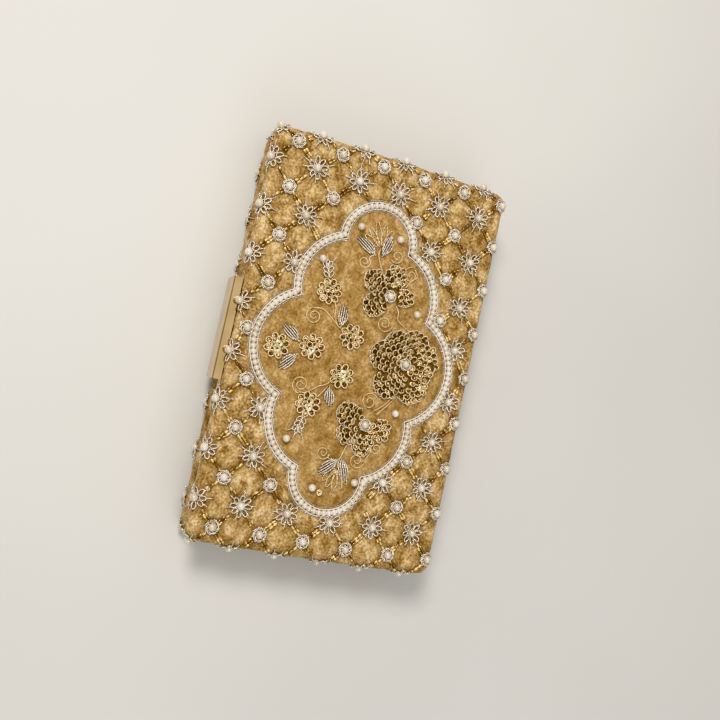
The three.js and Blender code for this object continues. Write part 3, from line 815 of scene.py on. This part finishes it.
# ---- beadwork of the lattice ----
BEADWORK_SEED = 7
PEARL_LIFT = 1.35  # of a pearl's middle over the velvet
PEARL_CLEARANCE = 1.9  # wires round a pearl start this far from its middle
EYELETS = 8
EYELET_REACH = (3.0, 3.7)
EYELET_WIDTH = 2.0
EYELET_WIRE = (0.5, 0.6, 0.36)  # lift at the root, rise to the far end, and radius
EYELET_STRAY = 0.07  # an eyelet's direction strays by this much to either side, in radians,
STITCH_STRAY = 0.3  # and a stitch's by this much
STITCH_SHARE = 0.9  # of the eyelets that have a stitch beside them
STITCH_START = 4.4  # a stitch between the eyelets runs from here
STITCH_REACH = (6.8, 8.8)  # to between these
STITCH_LIFT, STITCH_ARCH = 0.5, 0.4  # of a stitch's ends, and how much higher its middle is
STITCH_RADIUS = 0.34
ROSETTE_LIFT, ROSETTE_ARCH = 0.6, 0.6
ROSETTE_RADIUS = 0.42
ROSETTE_SWEEP = 1.5  # a rosette's wire winds through this angle, in radians
TOWARDS_CLASP = (-0.2, 0.2)  # beside it, eyelets and stitches are left out below these sines
WIRE_SIDES = 5
NODE_STRAY = 0.35  # a star or rosette is off its crossing by up to this much each way
LINK_PLACES = (7.2, 9.5, 11.8)  # of the beads between a star and a rosette
LINK_SINGLES = 0.45  # share of these places with a single bead; the others have a pair,
LINK_PAIR = (-0.7, 0.7)  # beside the line between the two
BEAD_TILT, BEAD_LEAN = 0.22, 0.1  # how far a bead may lie off its line, and tip
BEAD_LIFT = 0.62
LINK_CLEARANCE = 3.6  # beads end this far short of the rosette,
BORDER_CLEARANCE = 3.2  # and this far outside the medallion's outline


class Beadwork:
    """Everything sewn on one cover, sorted by kind."""

    def __init__(self, side):
        self.side = side
        self.pearls, self.bugles = Copies(side, PEARL_BALL), Copies(side, BUGLE_BEAD)
        self.sequins, self.spangles = Copies(side, SEQUIN_DISC), Copies(side, SPANGLE_DISC)
        self.silver, self.gold, self.thread = Strands(side), Strands(side), Strands(side)
        self.random = np.random.default_rng(BEADWORK_SEED + side)

    def loop(self, wires, root, direction, length, width, measures):
        """An oval loop of wire from its root, rising towards its far end."""
        lift, rise, radius = measures
        t = full_turn(14)
        out = length / 2 * (1 - np.cos(t))
        side = width / 2 * np.sin(t)
        height = lift + rise * out / length
        wires.lay(*off_from(root, direction, out, side), height, radius, WIRE_SIDES, closed=True)

    def star(self, u, v):
        """A pearl in a ring of eyelets, with stitches that run out past them, but never under the clasp."""
        beside_clasp = v < CLASP_ROW and abs(u) < CLASP_HALF + CLASP_REACH
        no_eyelet, no_stitch = TOWARDS_CLASP
        turn = self.random.uniform(0, 2 * math.pi / EYELETS)
        self.pearls.put(u, v, PEARL_LIFT)
        for k in range(EYELETS):
            direction = turn + 2 * math.pi * k / EYELETS + self.random.uniform(-EYELET_STRAY, EYELET_STRAY)
            if beside_clasp and math.sin(direction) < no_eyelet:
                continue
            reach = self.random.uniform(*EYELET_REACH)
            root = off_from((u, v), direction, PEARL_CLEARANCE)
            self.loop(self.silver, root, direction, reach, EYELET_WIDTH, EYELET_WIRE)
            bare = beside_clasp and math.sin(direction) < no_stitch
            if self.random.random() < STITCH_SHARE and not bare:
                aside = direction + self.random.uniform(-STITCH_STRAY, STITCH_STRAY)
                self.stitch((u, v), aside, STITCH_START, self.random.uniform(*STITCH_REACH))

    def stitch(self, root, direction, start, end):
        lift = STITCH_LIFT + STITCH_ARCH * np.sin(np.linspace(0.5, math.pi, 5))
        line = off_from(root, direction, np.linspace(start, end, 5))
        self.silver.lay(*line, lift, STITCH_RADIUS, WIRE_SIDES, taper=0.4)

    def rosette(self, u, v, arcs=8, outer=3.5):
        """A pearl in a whirl of short wires that wind outwards round it."""
        turn = self.random.uniform(0, math.pi)
        self.pearls.put(u, v, PEARL_LIFT)
        t = np.linspace(0, 1, 9)
        r = PEARL_CLEARANCE + (outer - PEARL_CLEARANCE) * t**0.7
        lift = ROSETTE_LIFT + ROSETTE_ARCH * np.sin(t * math.pi)
        for k in range(arcs):
            angle = turn + 2 * math.pi * k / arcs + t * ROSETTE_SWEEP
            line = u + r * np.cos(angle), v + r * np.sin(angle)
            self.silver.lay(*line, lift, ROSETTE_RADIUS, WIRE_SIDES, taper=0.2)

    def link(self, start, end):
        """Bugle beads between a star and a rosette."""
        (u0, v0), (u1, v1) = start, end
        run = math.hypot(u1 - u0, v1 - v0)
        turn = math.atan2(v1 - v0, u1 - u0)
        for distance in LINK_PLACES:
            if distance > run - LINK_CLEARANCE:
                break
            share = distance / run
            u, v = u0 + (u1 - u0) * share, v0 + (v1 - v0) * share
            if self.side == FRONT and medallion_distance(u, v) < BORDER_CLEARANCE:
                continue
            beads = (0.0,) if self.random.random() < LINK_SINGLES else LINK_PAIR
            for beside in beads:
                tilt = turn + self.random.uniform(-BEAD_TILT, BEAD_TILT)
                lean = self.random.uniform(-BEAD_LEAN, BEAD_LEAN), 0
                bead = u - beside * math.sin(turn), v + beside * math.cos(turn)
                self.bugles.put(*bead, BEAD_LIFT, tilt, lean)


def sew_on(body, *pieces_and_slots):
    """Attaches each piece to the body that it rides on; the slots are not used."""
    for piece, slot in pieces_and_slots:
        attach(piece, body)


def clear_of_medallion(u, v, side):
    """The place itself, or the nearest one clear of the medallion, or None inside it."""
    if side == BACK:
        return u, v
    distance = medallion_distance(u, v)
    if distance < NODE_INSIDE:
        return None
    if distance < NODE_CLEARANCE:
        step = 0.1
        slope_u = (medallion_distance(u + step, v) - distance) / step
        slope_v = (medallion_distance(u, v + step) - distance) / step
        u += slope_u * (NODE_CLEARANCE - distance)
        v += slope_v * (NODE_CLEARANCE - distance)
    return u, v


def add_lattice(half, side):
    work = Beadwork(side)
    nodes = {}
    for row in range(LAST_ROW + 1):
        for column in range(-LAST_COLUMN, LAST_COLUMN + 1):
            if (row + column) % 2 == 0:
                nodes[column, row] = clear_of_medallion(column_u(column), row_v(row), side)
    for (column, row), node in nodes.items():
        if node is None or (side == FRONT and (column, row) in BARE_NODES):
            continue
        stray = work.random.uniform(-NODE_STRAY, NODE_STRAY, 2)
        node = (node[0] + stray[0], node[1] + stray[1])
        if row % 2 == 0:
            work.rosette(*node)
            continue
        work.star(*node)
        for key in ((column + a, row + b) for a in (1, -1) for b in (1, -1)):
            if key in nodes:
                work.link(node, nodes[key] or (column_u(key[0]), row_v(key[1])))
    pearls = work.pearls.finish(half + "_pearls", PEARLS)
    bugles = work.bugles.finish(half + "_bugle_beads", BUGLES)
    silver = work.silver.finish(half + "_silver_wire", SILVER_WIRE)
    sew_on(half + "_half", (pearls, "pearls"), (bugles, "gold_work"), (silver, "silver_wire"))
    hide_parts(half + "_bead_net")


for half, side in HALVES:
    add_lattice(half, side)


# ---- the medallion's border ----
def medallion_outline(grow):
    """The closed outline of the medallion, pushed out by grow, as points in order round it."""
    places = []
    for index, (a, b, r) in enumerate(MEDALLION_LOBES):
        t = full_turn(720)
        x, y = a + (r + grow) * np.cos(t), b + (r + grow) * np.sin(t)
        others = [lobe for k, lobe in enumerate(MEDALLION_LOBES) if k != index]
        free = np.min([np.hypot(x - c, y - d) - s - grow for c, d, s in others], axis=0) >= 0
        free &= np.hypot(x, y) > OUTLINE_NEAREST
        places.append(np.column_stack([x[free], y[free]]))
    places = np.concatenate(places)
    order = np.argsort(np.arctan2(places[:, 1], places[:, 0]))
    return places[order] + MEDALLION_CENTRE


def even_steps(line, pitch):
    """Places at an even pitch round a closed line."""
    closed = np.vstack([line, line[:1]])
    length = np.concatenate([[0], np.cumsum(np.linalg.norm(np.diff(closed, axis=0), axis=1))])
    number = round(length[-1] / pitch)
    wanted = np.arange(number) * length[-1] / number
    return np.column_stack([np.interp(wanted, length, closed[:, k]) for k in (0, 1)])


def lay_round(strands, side, distance, step, lift, radius, sides):
    """A closed strand of the border, outside the outline or, with side -1, inside it."""
    line = even_steps(medallion_outline(side * distance), step)
    strands.lay(*line.T, lift, radius, sides, closed=True)


def add_border():
    pearls = Copies(FRONT, BORDER_BEAD)
    line = even_steps(medallion_outline(0), BORDER_PITCH)
    for (u, v), (du, dv) in zip(line, np.roll(line, -1, axis=0) - np.roll(line, 1, axis=0)):
        pearls.put(u, v, BORDER_LIFT, math.atan2(dv, du))
    row = pearls.finish("medallion_border_pearls", PEARLS)
    cords, threads = Strands(FRONT), Strands(FRONT)
    lay_round(cords, 1, *MIDDLE_CORD)
    for side in (-1, 1):
        lay_round(cords, side, *SIDE_CORD)
        lay_round(threads, side, *SIDE_THREAD)
    cord = cords.finish("medallion_border_cords", CORD)
    thread = threads.finish("medallion_border_threads", SILVER_WIRE)
    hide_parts("medallion_border")
    sew_on("front_half", (row, "pearls"), (cord, "silver_wire"), (thread, "silver_wire"))


add_border()


# ---- the medallion's flowers and stems ----
# The sequins of a sewn flower lie like scales, each with a bow of wire.
SCALE_ROW = 2.8  # pitch of the scales' rows along a petal,
SCALE_PITCH = 3.0  # and of the scales along a row
SCALE_RADIUS = 1.42  # of the bow,
SCALE_BOW = 2.1  # which runs through this angle to either side, in radians
SCALE_LEAN, SCALE_TIP = (-0.45, -0.1), 0.2  # how far a sequin leans outwards, and to either side
SCALE_SIZES = (0.9, 1.08)
SCALE_TURN = 0.5  # a scale at a petal's side is turned outwards by this much, in radians
BOW_LIFT, BOW_ARCH = 1.2, 0.75
TIP_ROW, ROW_INSET = 1.5, 1.0  # a petal's scales keep this far from its tip, and from its sides
PETAL_CORD_OUT = 0.3  # the cord lies this far outside the petal
PETAL_CORD = (0.55, 0.36, 6)  # lift, radius and sides
STEM_THREAD = (0.4, 0.38, 6)
SCROLL_THREAD = (0.4, 0.36, 6)
SCALE_CLEARANCE = 2.5  # the least distance between two scales,
HEART_CLEARANCE = 3.6  # and between one and the flower's middle
GAP_RINGS = (4.0, 6.2, 8.6, 11.0)  # distances from the middle at which gaps are filled
LOOP_LENGTH, LOOP_WIDTH = 3.4, 2.9  # of the loops round a small flower
HEART_RADIUS = 1.5  # the three discs at its heart stand this far from its middle
HEART_RING = 1.45  # radius of the wire round a disc
STEM_STEPS = 10  # between two points of a stem
# A wire's own measures: the lift at its root, its rise to the far end, and its radius.
LOOP_WIRE = (0.45, 0.5, 0.42)
FAN_WIRE = (0.4, 0.35, 0.26)
BUD_WIRE = (0.4, 0.4, 0.33)


def smooth_line(points):
    """A smooth curve through the points."""
    p = np.array(points, float)
    p = np.vstack([2 * p[0] - p[1], p, 2 * p[-1] - p[-2]])
    t = np.linspace(0, 1, STEM_STEPS, endpoint=False)[:, None]
    curve = []
    for a, b, c, d in zip(p, p[1:], p[2:], p[3:]):
        bend, twist = 2 * a - 5 * b + 4 * c - d, 3 * b - a - 3 * c + d
        curve.append(0.5 * (2 * b + (c - a) * t + bend * t**2 + twist * t**3))
    return np.vstack([*curve, p[-2:-1]])


class Motifs(Beadwork):
    """The medallion's embroidery, placed by (across, up)."""

    def scale(self, u, v, direction, size):
        """A dark sequin tipped up on its outer side, with a bow of gold wire round that side."""
        lean = self.random.uniform(*SCALE_LEAN), self.random.uniform(-SCALE_TIP, SCALE_TIP)
        self.sequins.put(u, v, 0.75, direction, lean, size)
        t = np.linspace(-SCALE_BOW, SCALE_BOW, 12)
        radius = SCALE_RADIUS * size
        bow = off_from((u, v), direction, radius * np.cos(t), radius * np.sin(t))
        tip = self.random.uniform(-0.8, 0.8)
        lift = BOW_LIFT + BOW_ARCH * np.cos(t + tip) + self.random.uniform(-0.15, 0.15)
        self.gold.lay(*bow, lift, 0.34, 6)

    def petal(self, middle, degrees, reach, half_wide, sweep, placed):
        """An oval petal packed with scales and edged with cord; placed grows by its scales' places."""
        petal, half_long, direction = petal_axes(middle, degrees, reach)
        mu, mv = place(*middle)
        for row in range(int(2 * half_long / SCALE_ROW)):
            along = half_long - TIP_ROW - row * SCALE_ROW
            half_width = half_wide * math.sqrt(max(0, 1 - (along / half_long) ** 2)) - ROW_INSET
            number = max(1, round(2 * half_width / SCALE_PITCH) + 1)
            for k in range(number):
                beside = (k - (number - 1) / 2) * SCALE_PITCH
                u, v = off_from(petal, direction, along, beside)
                if is_clear(u, v, placed) and math.hypot(u - mu, v - mv) > HEART_CLEARANCE:
                    placed.append((u, v))
                    turn = direction + beside / half_wide * SCALE_TURN
                    self.scale(u, v, turn, self.random.uniform(*SCALE_SIZES))
        t = np.linspace(-sweep, sweep, 24)
        edge = (half_long + PETAL_CORD_OUT) * np.cos(t), (half_wide + PETAL_CORD_OUT) * np.sin(t)
        self.silver.lay(*off_from(petal, direction, *edge), *PETAL_CORD)

    def sewn_flower(self, middle, petals, sweep):
        placed = []
        for degrees, reach, half_wide in petals:
            self.petal(middle, degrees, reach, half_wide, sweep, placed)
        self.fill_gaps(place(*middle), placed)
        self.rosette(*place(*middle), arcs=7, outer=3.2)

    def fill_gaps(self, middle, placed):
        """More scales where the petals leave room between them, in rings round the flower's middle."""
        for reach in GAP_RINGS:
            for turn in np.arange(0, 2 * math.pi, 0.12):
                u, v = off_from(middle, turn, reach)
                if is_clear(u, v, placed) and under_flowers(u, v) > 0.9:
                    placed.append((u, v))
                    self.scale(u, v, turn, 0.95)

    def small_flower(self, across, up, loops, reach, spangles):
        """A ring of gold loops round a few sequins; spangles of them are large and bright."""
        u, v = place(across, up)
        turn = self.random.uniform(0, math.pi / 4)
        for k in range(loops):
            direction = turn + 2 * math.pi * k / loops
            root = off_from((u, v), direction, reach - LOOP_LENGTH)
            self.loop(self.gold, root, direction, LOOP_LENGTH, LOOP_WIDTH, LOOP_WIRE)
            self.sequins.put(*off_from((u, v), direction, reach - 1.9), 0.45, direction, (0, 0), 0.8)
        for k in range(3):
            bright = k < spangles
            disc = self.spangles if bright else self.sequins
            lean = self.random.uniform(-0.12, 0.12, 2)
            angle = turn + 2 * math.pi * k / 3
            mu, mv = off_from((u, v), angle, HEART_RADIUS)
            disc.put(mu, mv, 0.8 + 0.16 * k, angle, lean, 1.0 if bright else 1.25)
            if not bright:
                t = full_turn(12)
                ring = mu + HEART_RING * np.cos(t), mv + HEART_RING * np.sin(t)
                self.gold.lay(*ring, 1.1 + 0.16 * k, 0.3, 5, closed=True)

    def leaf(self, across, up, degrees, length):
        """A leaf of wires laid side by side, from its root."""
        for k in range(LEAF_WIRES):
            rank = k - (LEAF_WIRES - 1) / 2
            t = np.linspace(abs(rank) * 1.3, length * (1 - 0.13 * abs(rank - 0.6)), 7)
            spread = rank * LEAF_SPACING * (0.4 + 0.6 * np.sin(np.linspace(0.4, 2.3, 7)))
            lift = 0.5 + 0.7 * np.sin(np.linspace(0.3, 2.9, 7))
            wire = off_from(place(across, up), heading(degrees), t, spread)
            self.silver.lay(*wire, lift, 0.37, 6, taper=0.2)

    def fan(self, across, up, degrees, spread, length):
        """Long loops of gold wire that spread from one root."""
        for k in range(FAN_BLADES):
            rank = k - (FAN_BLADES - 1) / 2
            direction = heading(degrees + rank * spread / (FAN_BLADES - 1))
            size = length * (1 - 0.1 * abs(rank))
            root = off_from(place(across, up), direction, 2.0)
            self.loop(self.gold, root, direction, size - 2.0, 2.6, FAN_WIRE)

    def bud(self, across, up, degrees):
        """Small loops in pairs along a short stalk, with stitches past its tip."""
        direction = heading(degrees)
        for k in range(BUD_PAIRS):
            root = off_from(place(across, up), direction, BUD_PITCH * k)
            for side in (-0.75, 0.75):
                self.loop(self.silver, root, direction + side, 3.4, 1.9, BUD_WIRE)
        self.loop(self.silver, root, direction, 3.8, 1.8, BUD_WIRE)
        for side in (-0.8, 0, 0.8):
            self.stitch(root, direction + side, 3.2, 6.6)

    def stem(self, *points):
        line = smooth_line([place(*p) for p in points])
        self.thread.lay(*line.T, *STEM_THREAD)

    def scroll(self, across, up, radius, start, turns, hand):
        """A thread that winds in from its outer end."""
        t = np.linspace(0, 1, int(26 * turns))
        angle = math.radians(start) + hand * 2 * math.pi * turns * t
        r = radius * (1 - 0.8 * t)
        line = place(across + r * np.cos(angle), up + r * np.sin(angle))
        self.thread.lay(*line, *SCROLL_THREAD)

    def loose_pearl(self, across, up):
        self.pearls.put(*place(across, up), 1.2, scale=0.95)


def is_clear(u, v, placed):
    """Whether a scale at (u, v) keeps its distance from those already placed."""
    return all(math.hypot(u - a, v - b) > SCALE_CLEARANCE for a, b in placed)


def add_motifs():
    work = Motifs(FRONT)
    for sew, motifs in (
        (work.sewn_flower, SEWN_FLOWERS),
        (work.small_flower, SMALL_FLOWERS),
        (work.leaf, LEAVES),
        (work.fan, FANS),
        (work.bud, BUDS),
        (work.stem, STEMS),
        (work.scroll, SCROLLS),
        (work.loose_pearl, LOOSE_PEARLS),
    ):
        for motif in motifs:
            sew(*motif)
    work.spangles.put(*place(*LOOSE_SPANGLE), 0.7, scale=0.8)
    sequins = work.sequins.finish("flower_sequins", SEQUINS)
    spangles = work.spangles.finish("flower_spangles", SPANGLES)
    gold = work.gold.finish("flower_gold_wire", GOLD_WIRE)
    silver = work.silver.finish("flower_silver_wire", SILVER_WIRE)
    threads = work.thread.finish("stem_threads", THREAD)
    pearls = work.pearls.finish("flower_pearls", PEARLS)
    sew_on("front_half", (sequins, "gold_work"), (spangles, "gold_work"), (gold, "gold_work"))
    sew_on("front_half", (silver, "silver_wire"), (threads, "gold_work"), (pearls, "pearls"))
    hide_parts(*(name for name in frame["nodes"] if "flower" in name))
    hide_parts("vine_left", "vine_right", "end_spray_left", "end_spray_right")


add_motifs()


# ---- rims ----
RIM_CORNER = 5.0
RIM_MOUTH_CORNER = 3.0
RIM_FACE_INSET = 0.12  # the hinge's leaves stand this far proud of the rim
RIM_EDGE = 0.55  # radius of its face's edges
RIM_THICK = 1.6
RIM_FLANGE = 0.8  # thickness of its flange, which
RIM_MOUTH = 4.5  # reaches in this far


def rim_section():
    """The rim's section, as [inset from its outer face, rise].

    It has a face with rounded edges, a leg behind it, and a flange at its mouth.
    """
    low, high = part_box("front_rim")
    near, far = (low.z - SEAM_Z) / MM, (high.z - SEAM_Z) / MM
    quarter = np.linspace(0, math.pi / 2, 6)
    edge = RIM_EDGE
    outer_far = [(edge - edge * math.cos(a), far - edge + edge * math.sin(a)) for a in quarter]
    outer_near = [(edge - edge * math.sin(a), near + edge - edge * math.cos(a)) for a in quarter]
    leg = [(RIM_THICK, far), (RIM_THICK, near + RIM_FLANGE)]
    tip = RIM_MOUTH - 0.2
    flange = [(tip, near + RIM_FLANGE), (RIM_MOUTH, near + 0.6), (RIM_MOUTH, near + 0.2), (tip, near)]
    return outer_far + leg + flange + outer_near


def rounded_ring(half_x, half_y, radius, corner_steps=12, side_steps=(1, 1)):
    """Points round a rounded rectangle; side_steps divide its long and short sides."""
    arcs = []
    for k, (sx, sy) in enumerate(((1, 1), (-1, 1), (-1, -1), (1, -1))):
        angle = np.linspace(0, math.pi / 2, corner_steps) + k * math.pi / 2
        x = sx * (half_x - radius) + radius * np.cos(angle)
        y = sy * (half_y - radius) + radius * np.sin(angle)
        arcs.append(np.column_stack([x, y]))
    ring = []
    for k, arc in enumerate(arcs):
        t = np.linspace(0, 1, side_steps[k % 2] + 1)[1:-1, None]
        ring += [arc, arc[-1] + (arcs[(k + 1) % 4][0] - arc[-1]) * t]
    return np.concatenate(ring)


def box_plan(name):
    """Half the length and half the width of a CAD node, in millimetres, and its reach from the seam."""
    low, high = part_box(name)
    reach = max(abs(low.z - SEAM_Z), abs(high.z - SEAM_Z))
    return (high.x - low.x) / 2 / MM, (high.y - low.y) / 2 / MM, reach / MM


def add_rim(half, side):
    half_x, half_y, _ = box_plan(half + "_rim")
    section = rim_section()
    rings = []
    for inset, rise in section:
        shrink = inset + RIM_FACE_INSET
        radius = max(RIM_CORNER - inset, RIM_MOUTH_CORNER)
        plan = rounded_ring(half_x - shrink, half_y - shrink, radius)
        rings.append(np.column_stack([plan, np.full(len(plan), rise)]))
    vertices = to_world(np.vstack(rings), side)
    faces = [grid_faces(len(section), len(rings[0]), True, True)]
    made = make_object(half + "_polished_rim", vertices, faces, GOLD)
    split = made.modifiers.new("edges", "EDGE_SPLIT")
    split.split_angle = math.radians(40)
    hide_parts(half + "_rim")
    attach(made, half + "_half")


for half, side in HALVES:
    add_rim(half, side)


# ---- satin lining ----
LINING_CORNER = 3.3
LINING_FLOOR_CORNER = 2.4
LINING_WALL = 0.8
LINING_MOUTH = 1.2  # rise of the lining's mouth, under the rim's flange
LINING_FOOT = 2.4  # radius between the lining's wall and its floor
LINING_GATHER = 0.4  # depth of the small pleats down its wall
LINING_SWELL = 0.9  # the padded floor stands up by this much in the middle
LINING_RINGS = 56  # rings of faces over the floor


def lining_section(floor):
    """From the mouth down the wall to the padded floor: [inset from the lining's outer face, rise]."""
    foot = floor - LINING_FOOT
    section = [(0.1, LINING_MOUTH)]
    for down in np.linspace(0, 1, 14):
        inset = LINING_WALL + 0.25 * math.sin(math.pi * down)
        section.append((inset, LINING_MOUTH + (foot - LINING_MOUTH) * down))
    for turn in np.linspace(0, math.pi / 2, 8)[1:]:
        inset = LINING_WALL + LINING_FOOT * (1 - math.cos(turn))
        section.append((inset, foot + LINING_FOOT * math.sin(turn)))
    return section


def add_lining(half, side):
    half_x, half_y, depth = box_plan(half + "_lining")
    floor = depth - LINING_WALL
    section = lining_section(floor)

    def ring(inset):
        radius = max(LINING_CORNER - inset, LINING_FLOOR_CORNER)
        return rounded_ring(half_x - inset, half_y - inset, radius, 8, (92, 56))

    count = len(ring(0))
    gather = lattice_noise(np.arange(count) * 1.0, np.zeros(count), 1.7, 5)[:, None]
    gather = 0.5 + 0.5 * np.clip(gather, -1, 1)
    rings = []
    for index, (inset, rise) in enumerate(section):
        share = math.sin(math.pi * index / (len(section) - 1))
        plan = ring(inset) + (ring(inset + LINING_GATHER) - ring(inset)) * share * gather
        rings.append(np.column_stack([plan, np.full(count, rise)]))
    last = rings[-1][:, :2]
    for share in np.linspace(0, 1, LINING_RINGS)[1:]:
        plan = last * (1 - share)
        edge = np.minimum(half_x - abs(plan[:, 0]), half_y - abs(plan[:, 1]))
        folds = 0.22 * lattice_noise(plan[:, 0] * 0.45, plan[:, 1], 6, 21)
        folds += 0.2 * lattice_noise(*plan.T, 11, 22)
        swell = (LINING_SWELL + folds) * smoothstep(3, 14, edge)
        rings.append(np.column_stack([plan, floor - swell]))
    vertices = to_world(np.vstack(rings), side)
    faces = [grid_faces(len(rings), count, False, True)[:, ::-1]]
    made = make_object(half + "_satin_lining", vertices, faces, SATIN)
    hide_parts(half + "_lining")
    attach(made, half + "_half")


for half, side in HALVES:
    add_lining(half, side)


# ---- CAD nodes that stay, with softened edges ----
PLATE_EDGE = 0.0004
SMALL_EDGE = 0.0001


def soften(name, width):
    """Rounds the sharp edges of a CAD node, by modifiers only."""
    node = frame["nodes"][name]
    node.data.polygons.foreach_set("use_smooth", [True] * len(node.data.polygons))
    node.modifiers.new("weld", "WELD").merge_threshold = 1e-6
    bevel = node.modifiers.new("bevel", "BEVEL")
    bevel.width = width
    bevel.segments = 3
    bevel.limit_method = "ANGLE"
    bevel.angle_limit = math.radians(38)
    bevel.harden_normals = True
    node.modifiers.new("normals", "WEIGHTED_NORMAL").keep_sharp = True


def finish_cad_node(name):
    if "shell" in name:
        material, width = SHELL, 0.0
    elif "wadding" in name:
        material, width = WADDING, 0.0
    elif "leaf" in name or name in ("clasp_catch_cap", "clasp_lever"):
        material, width = GOLD, PLATE_EDGE
    else:
        material, width = STEEL, SMALL_EDGE
    node = frame["nodes"][name]
    node.data.materials.clear()
    node.data.materials.append(material)
    if width and "spring" not in name:
        soften(name, width)


for name, node in frame["nodes"].items():
    if not node.hide_render:
        finish_cad_node(name)


# ---- floor, light and camera, in metres ----
FLOOR_HALF = 3.0
# A light: name, place, power, size and colour.
LIGHTS = (
    ("key", (-0.5, -0.35, 0.8), 7.5, 0.3, (1.0, 0.97, 0.93)),
    ("fill", (0.7, 0.2, 0.6), 2.0, 0.6, (0.95, 0.97, 1.0)),
    ("top", (0.0, 0.1, 0.9), 2.2, 1.2, (1.0, 0.98, 0.95)),
)
WORLD_COLOUR, WORLD_STRENGTH = (0.86, 0.86, 0.85, 1), 0.45
CAMERA_PLACE = (0.02186, -0.12240, 0.40805)
CAMERA_TURN = (0.61569, 0.12118, -0.10897, 0.77095)


def add_floor():
    level = min(cad_box[0].z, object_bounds()[0].z)
    corners = ((-1, -1), (1, -1), (1, 1), (-1, 1))
    vertices = [(x * FLOOR_HALF, y * FLOOR_HALF, level) for x, y in corners]
    floor = make_object("floor", vertices, [np.array([[0, 1, 2, 3]])], floor_material())


def add_light(name, where, power, size, colour):
    data = bpy.data.lights.new(name, "AREA")
    data.energy = power
    data.size = size
    data.color = colour
    light = bpy.data.objects.new(name, data)
    light.location = where
    towards_purse = -light.location
    light.rotation_mode = "QUATERNION"
    light.rotation_quaternion = towards_purse.to_track_quat("-Z", "Y")
    bpy.context.scene.collection.objects.link(light)


def add_world():
    world = bpy.data.worlds.new("studio")
    world.use_nodes = True
    background = world.node_tree.nodes["Background"]
    background.inputs["Color"].default_value = WORLD_COLOUR
    background.inputs["Strength"].default_value = WORLD_STRENGTH
    bpy.context.scene.world = world


def add_camera():
    data = bpy.data.cameras.new("camera")
    data.lens = 40
    data.sensor_width = 36
    camera = bpy.data.objects.new("camera", data)
    camera.location = CAMERA_PLACE
    camera.rotation_mode = "QUATERNION"
    camera.rotation_quaternion = Quaternion(CAMERA_TURN)
    bpy.context.scene.collection.objects.link(camera)
    bpy.context.scene.camera = camera


bpy.context.scene.view_settings.view_transform = "Khronos PBR Neutral"
add_floor()
for light in LIGHTS:
    add_light(*light)
add_world()
add_camera()
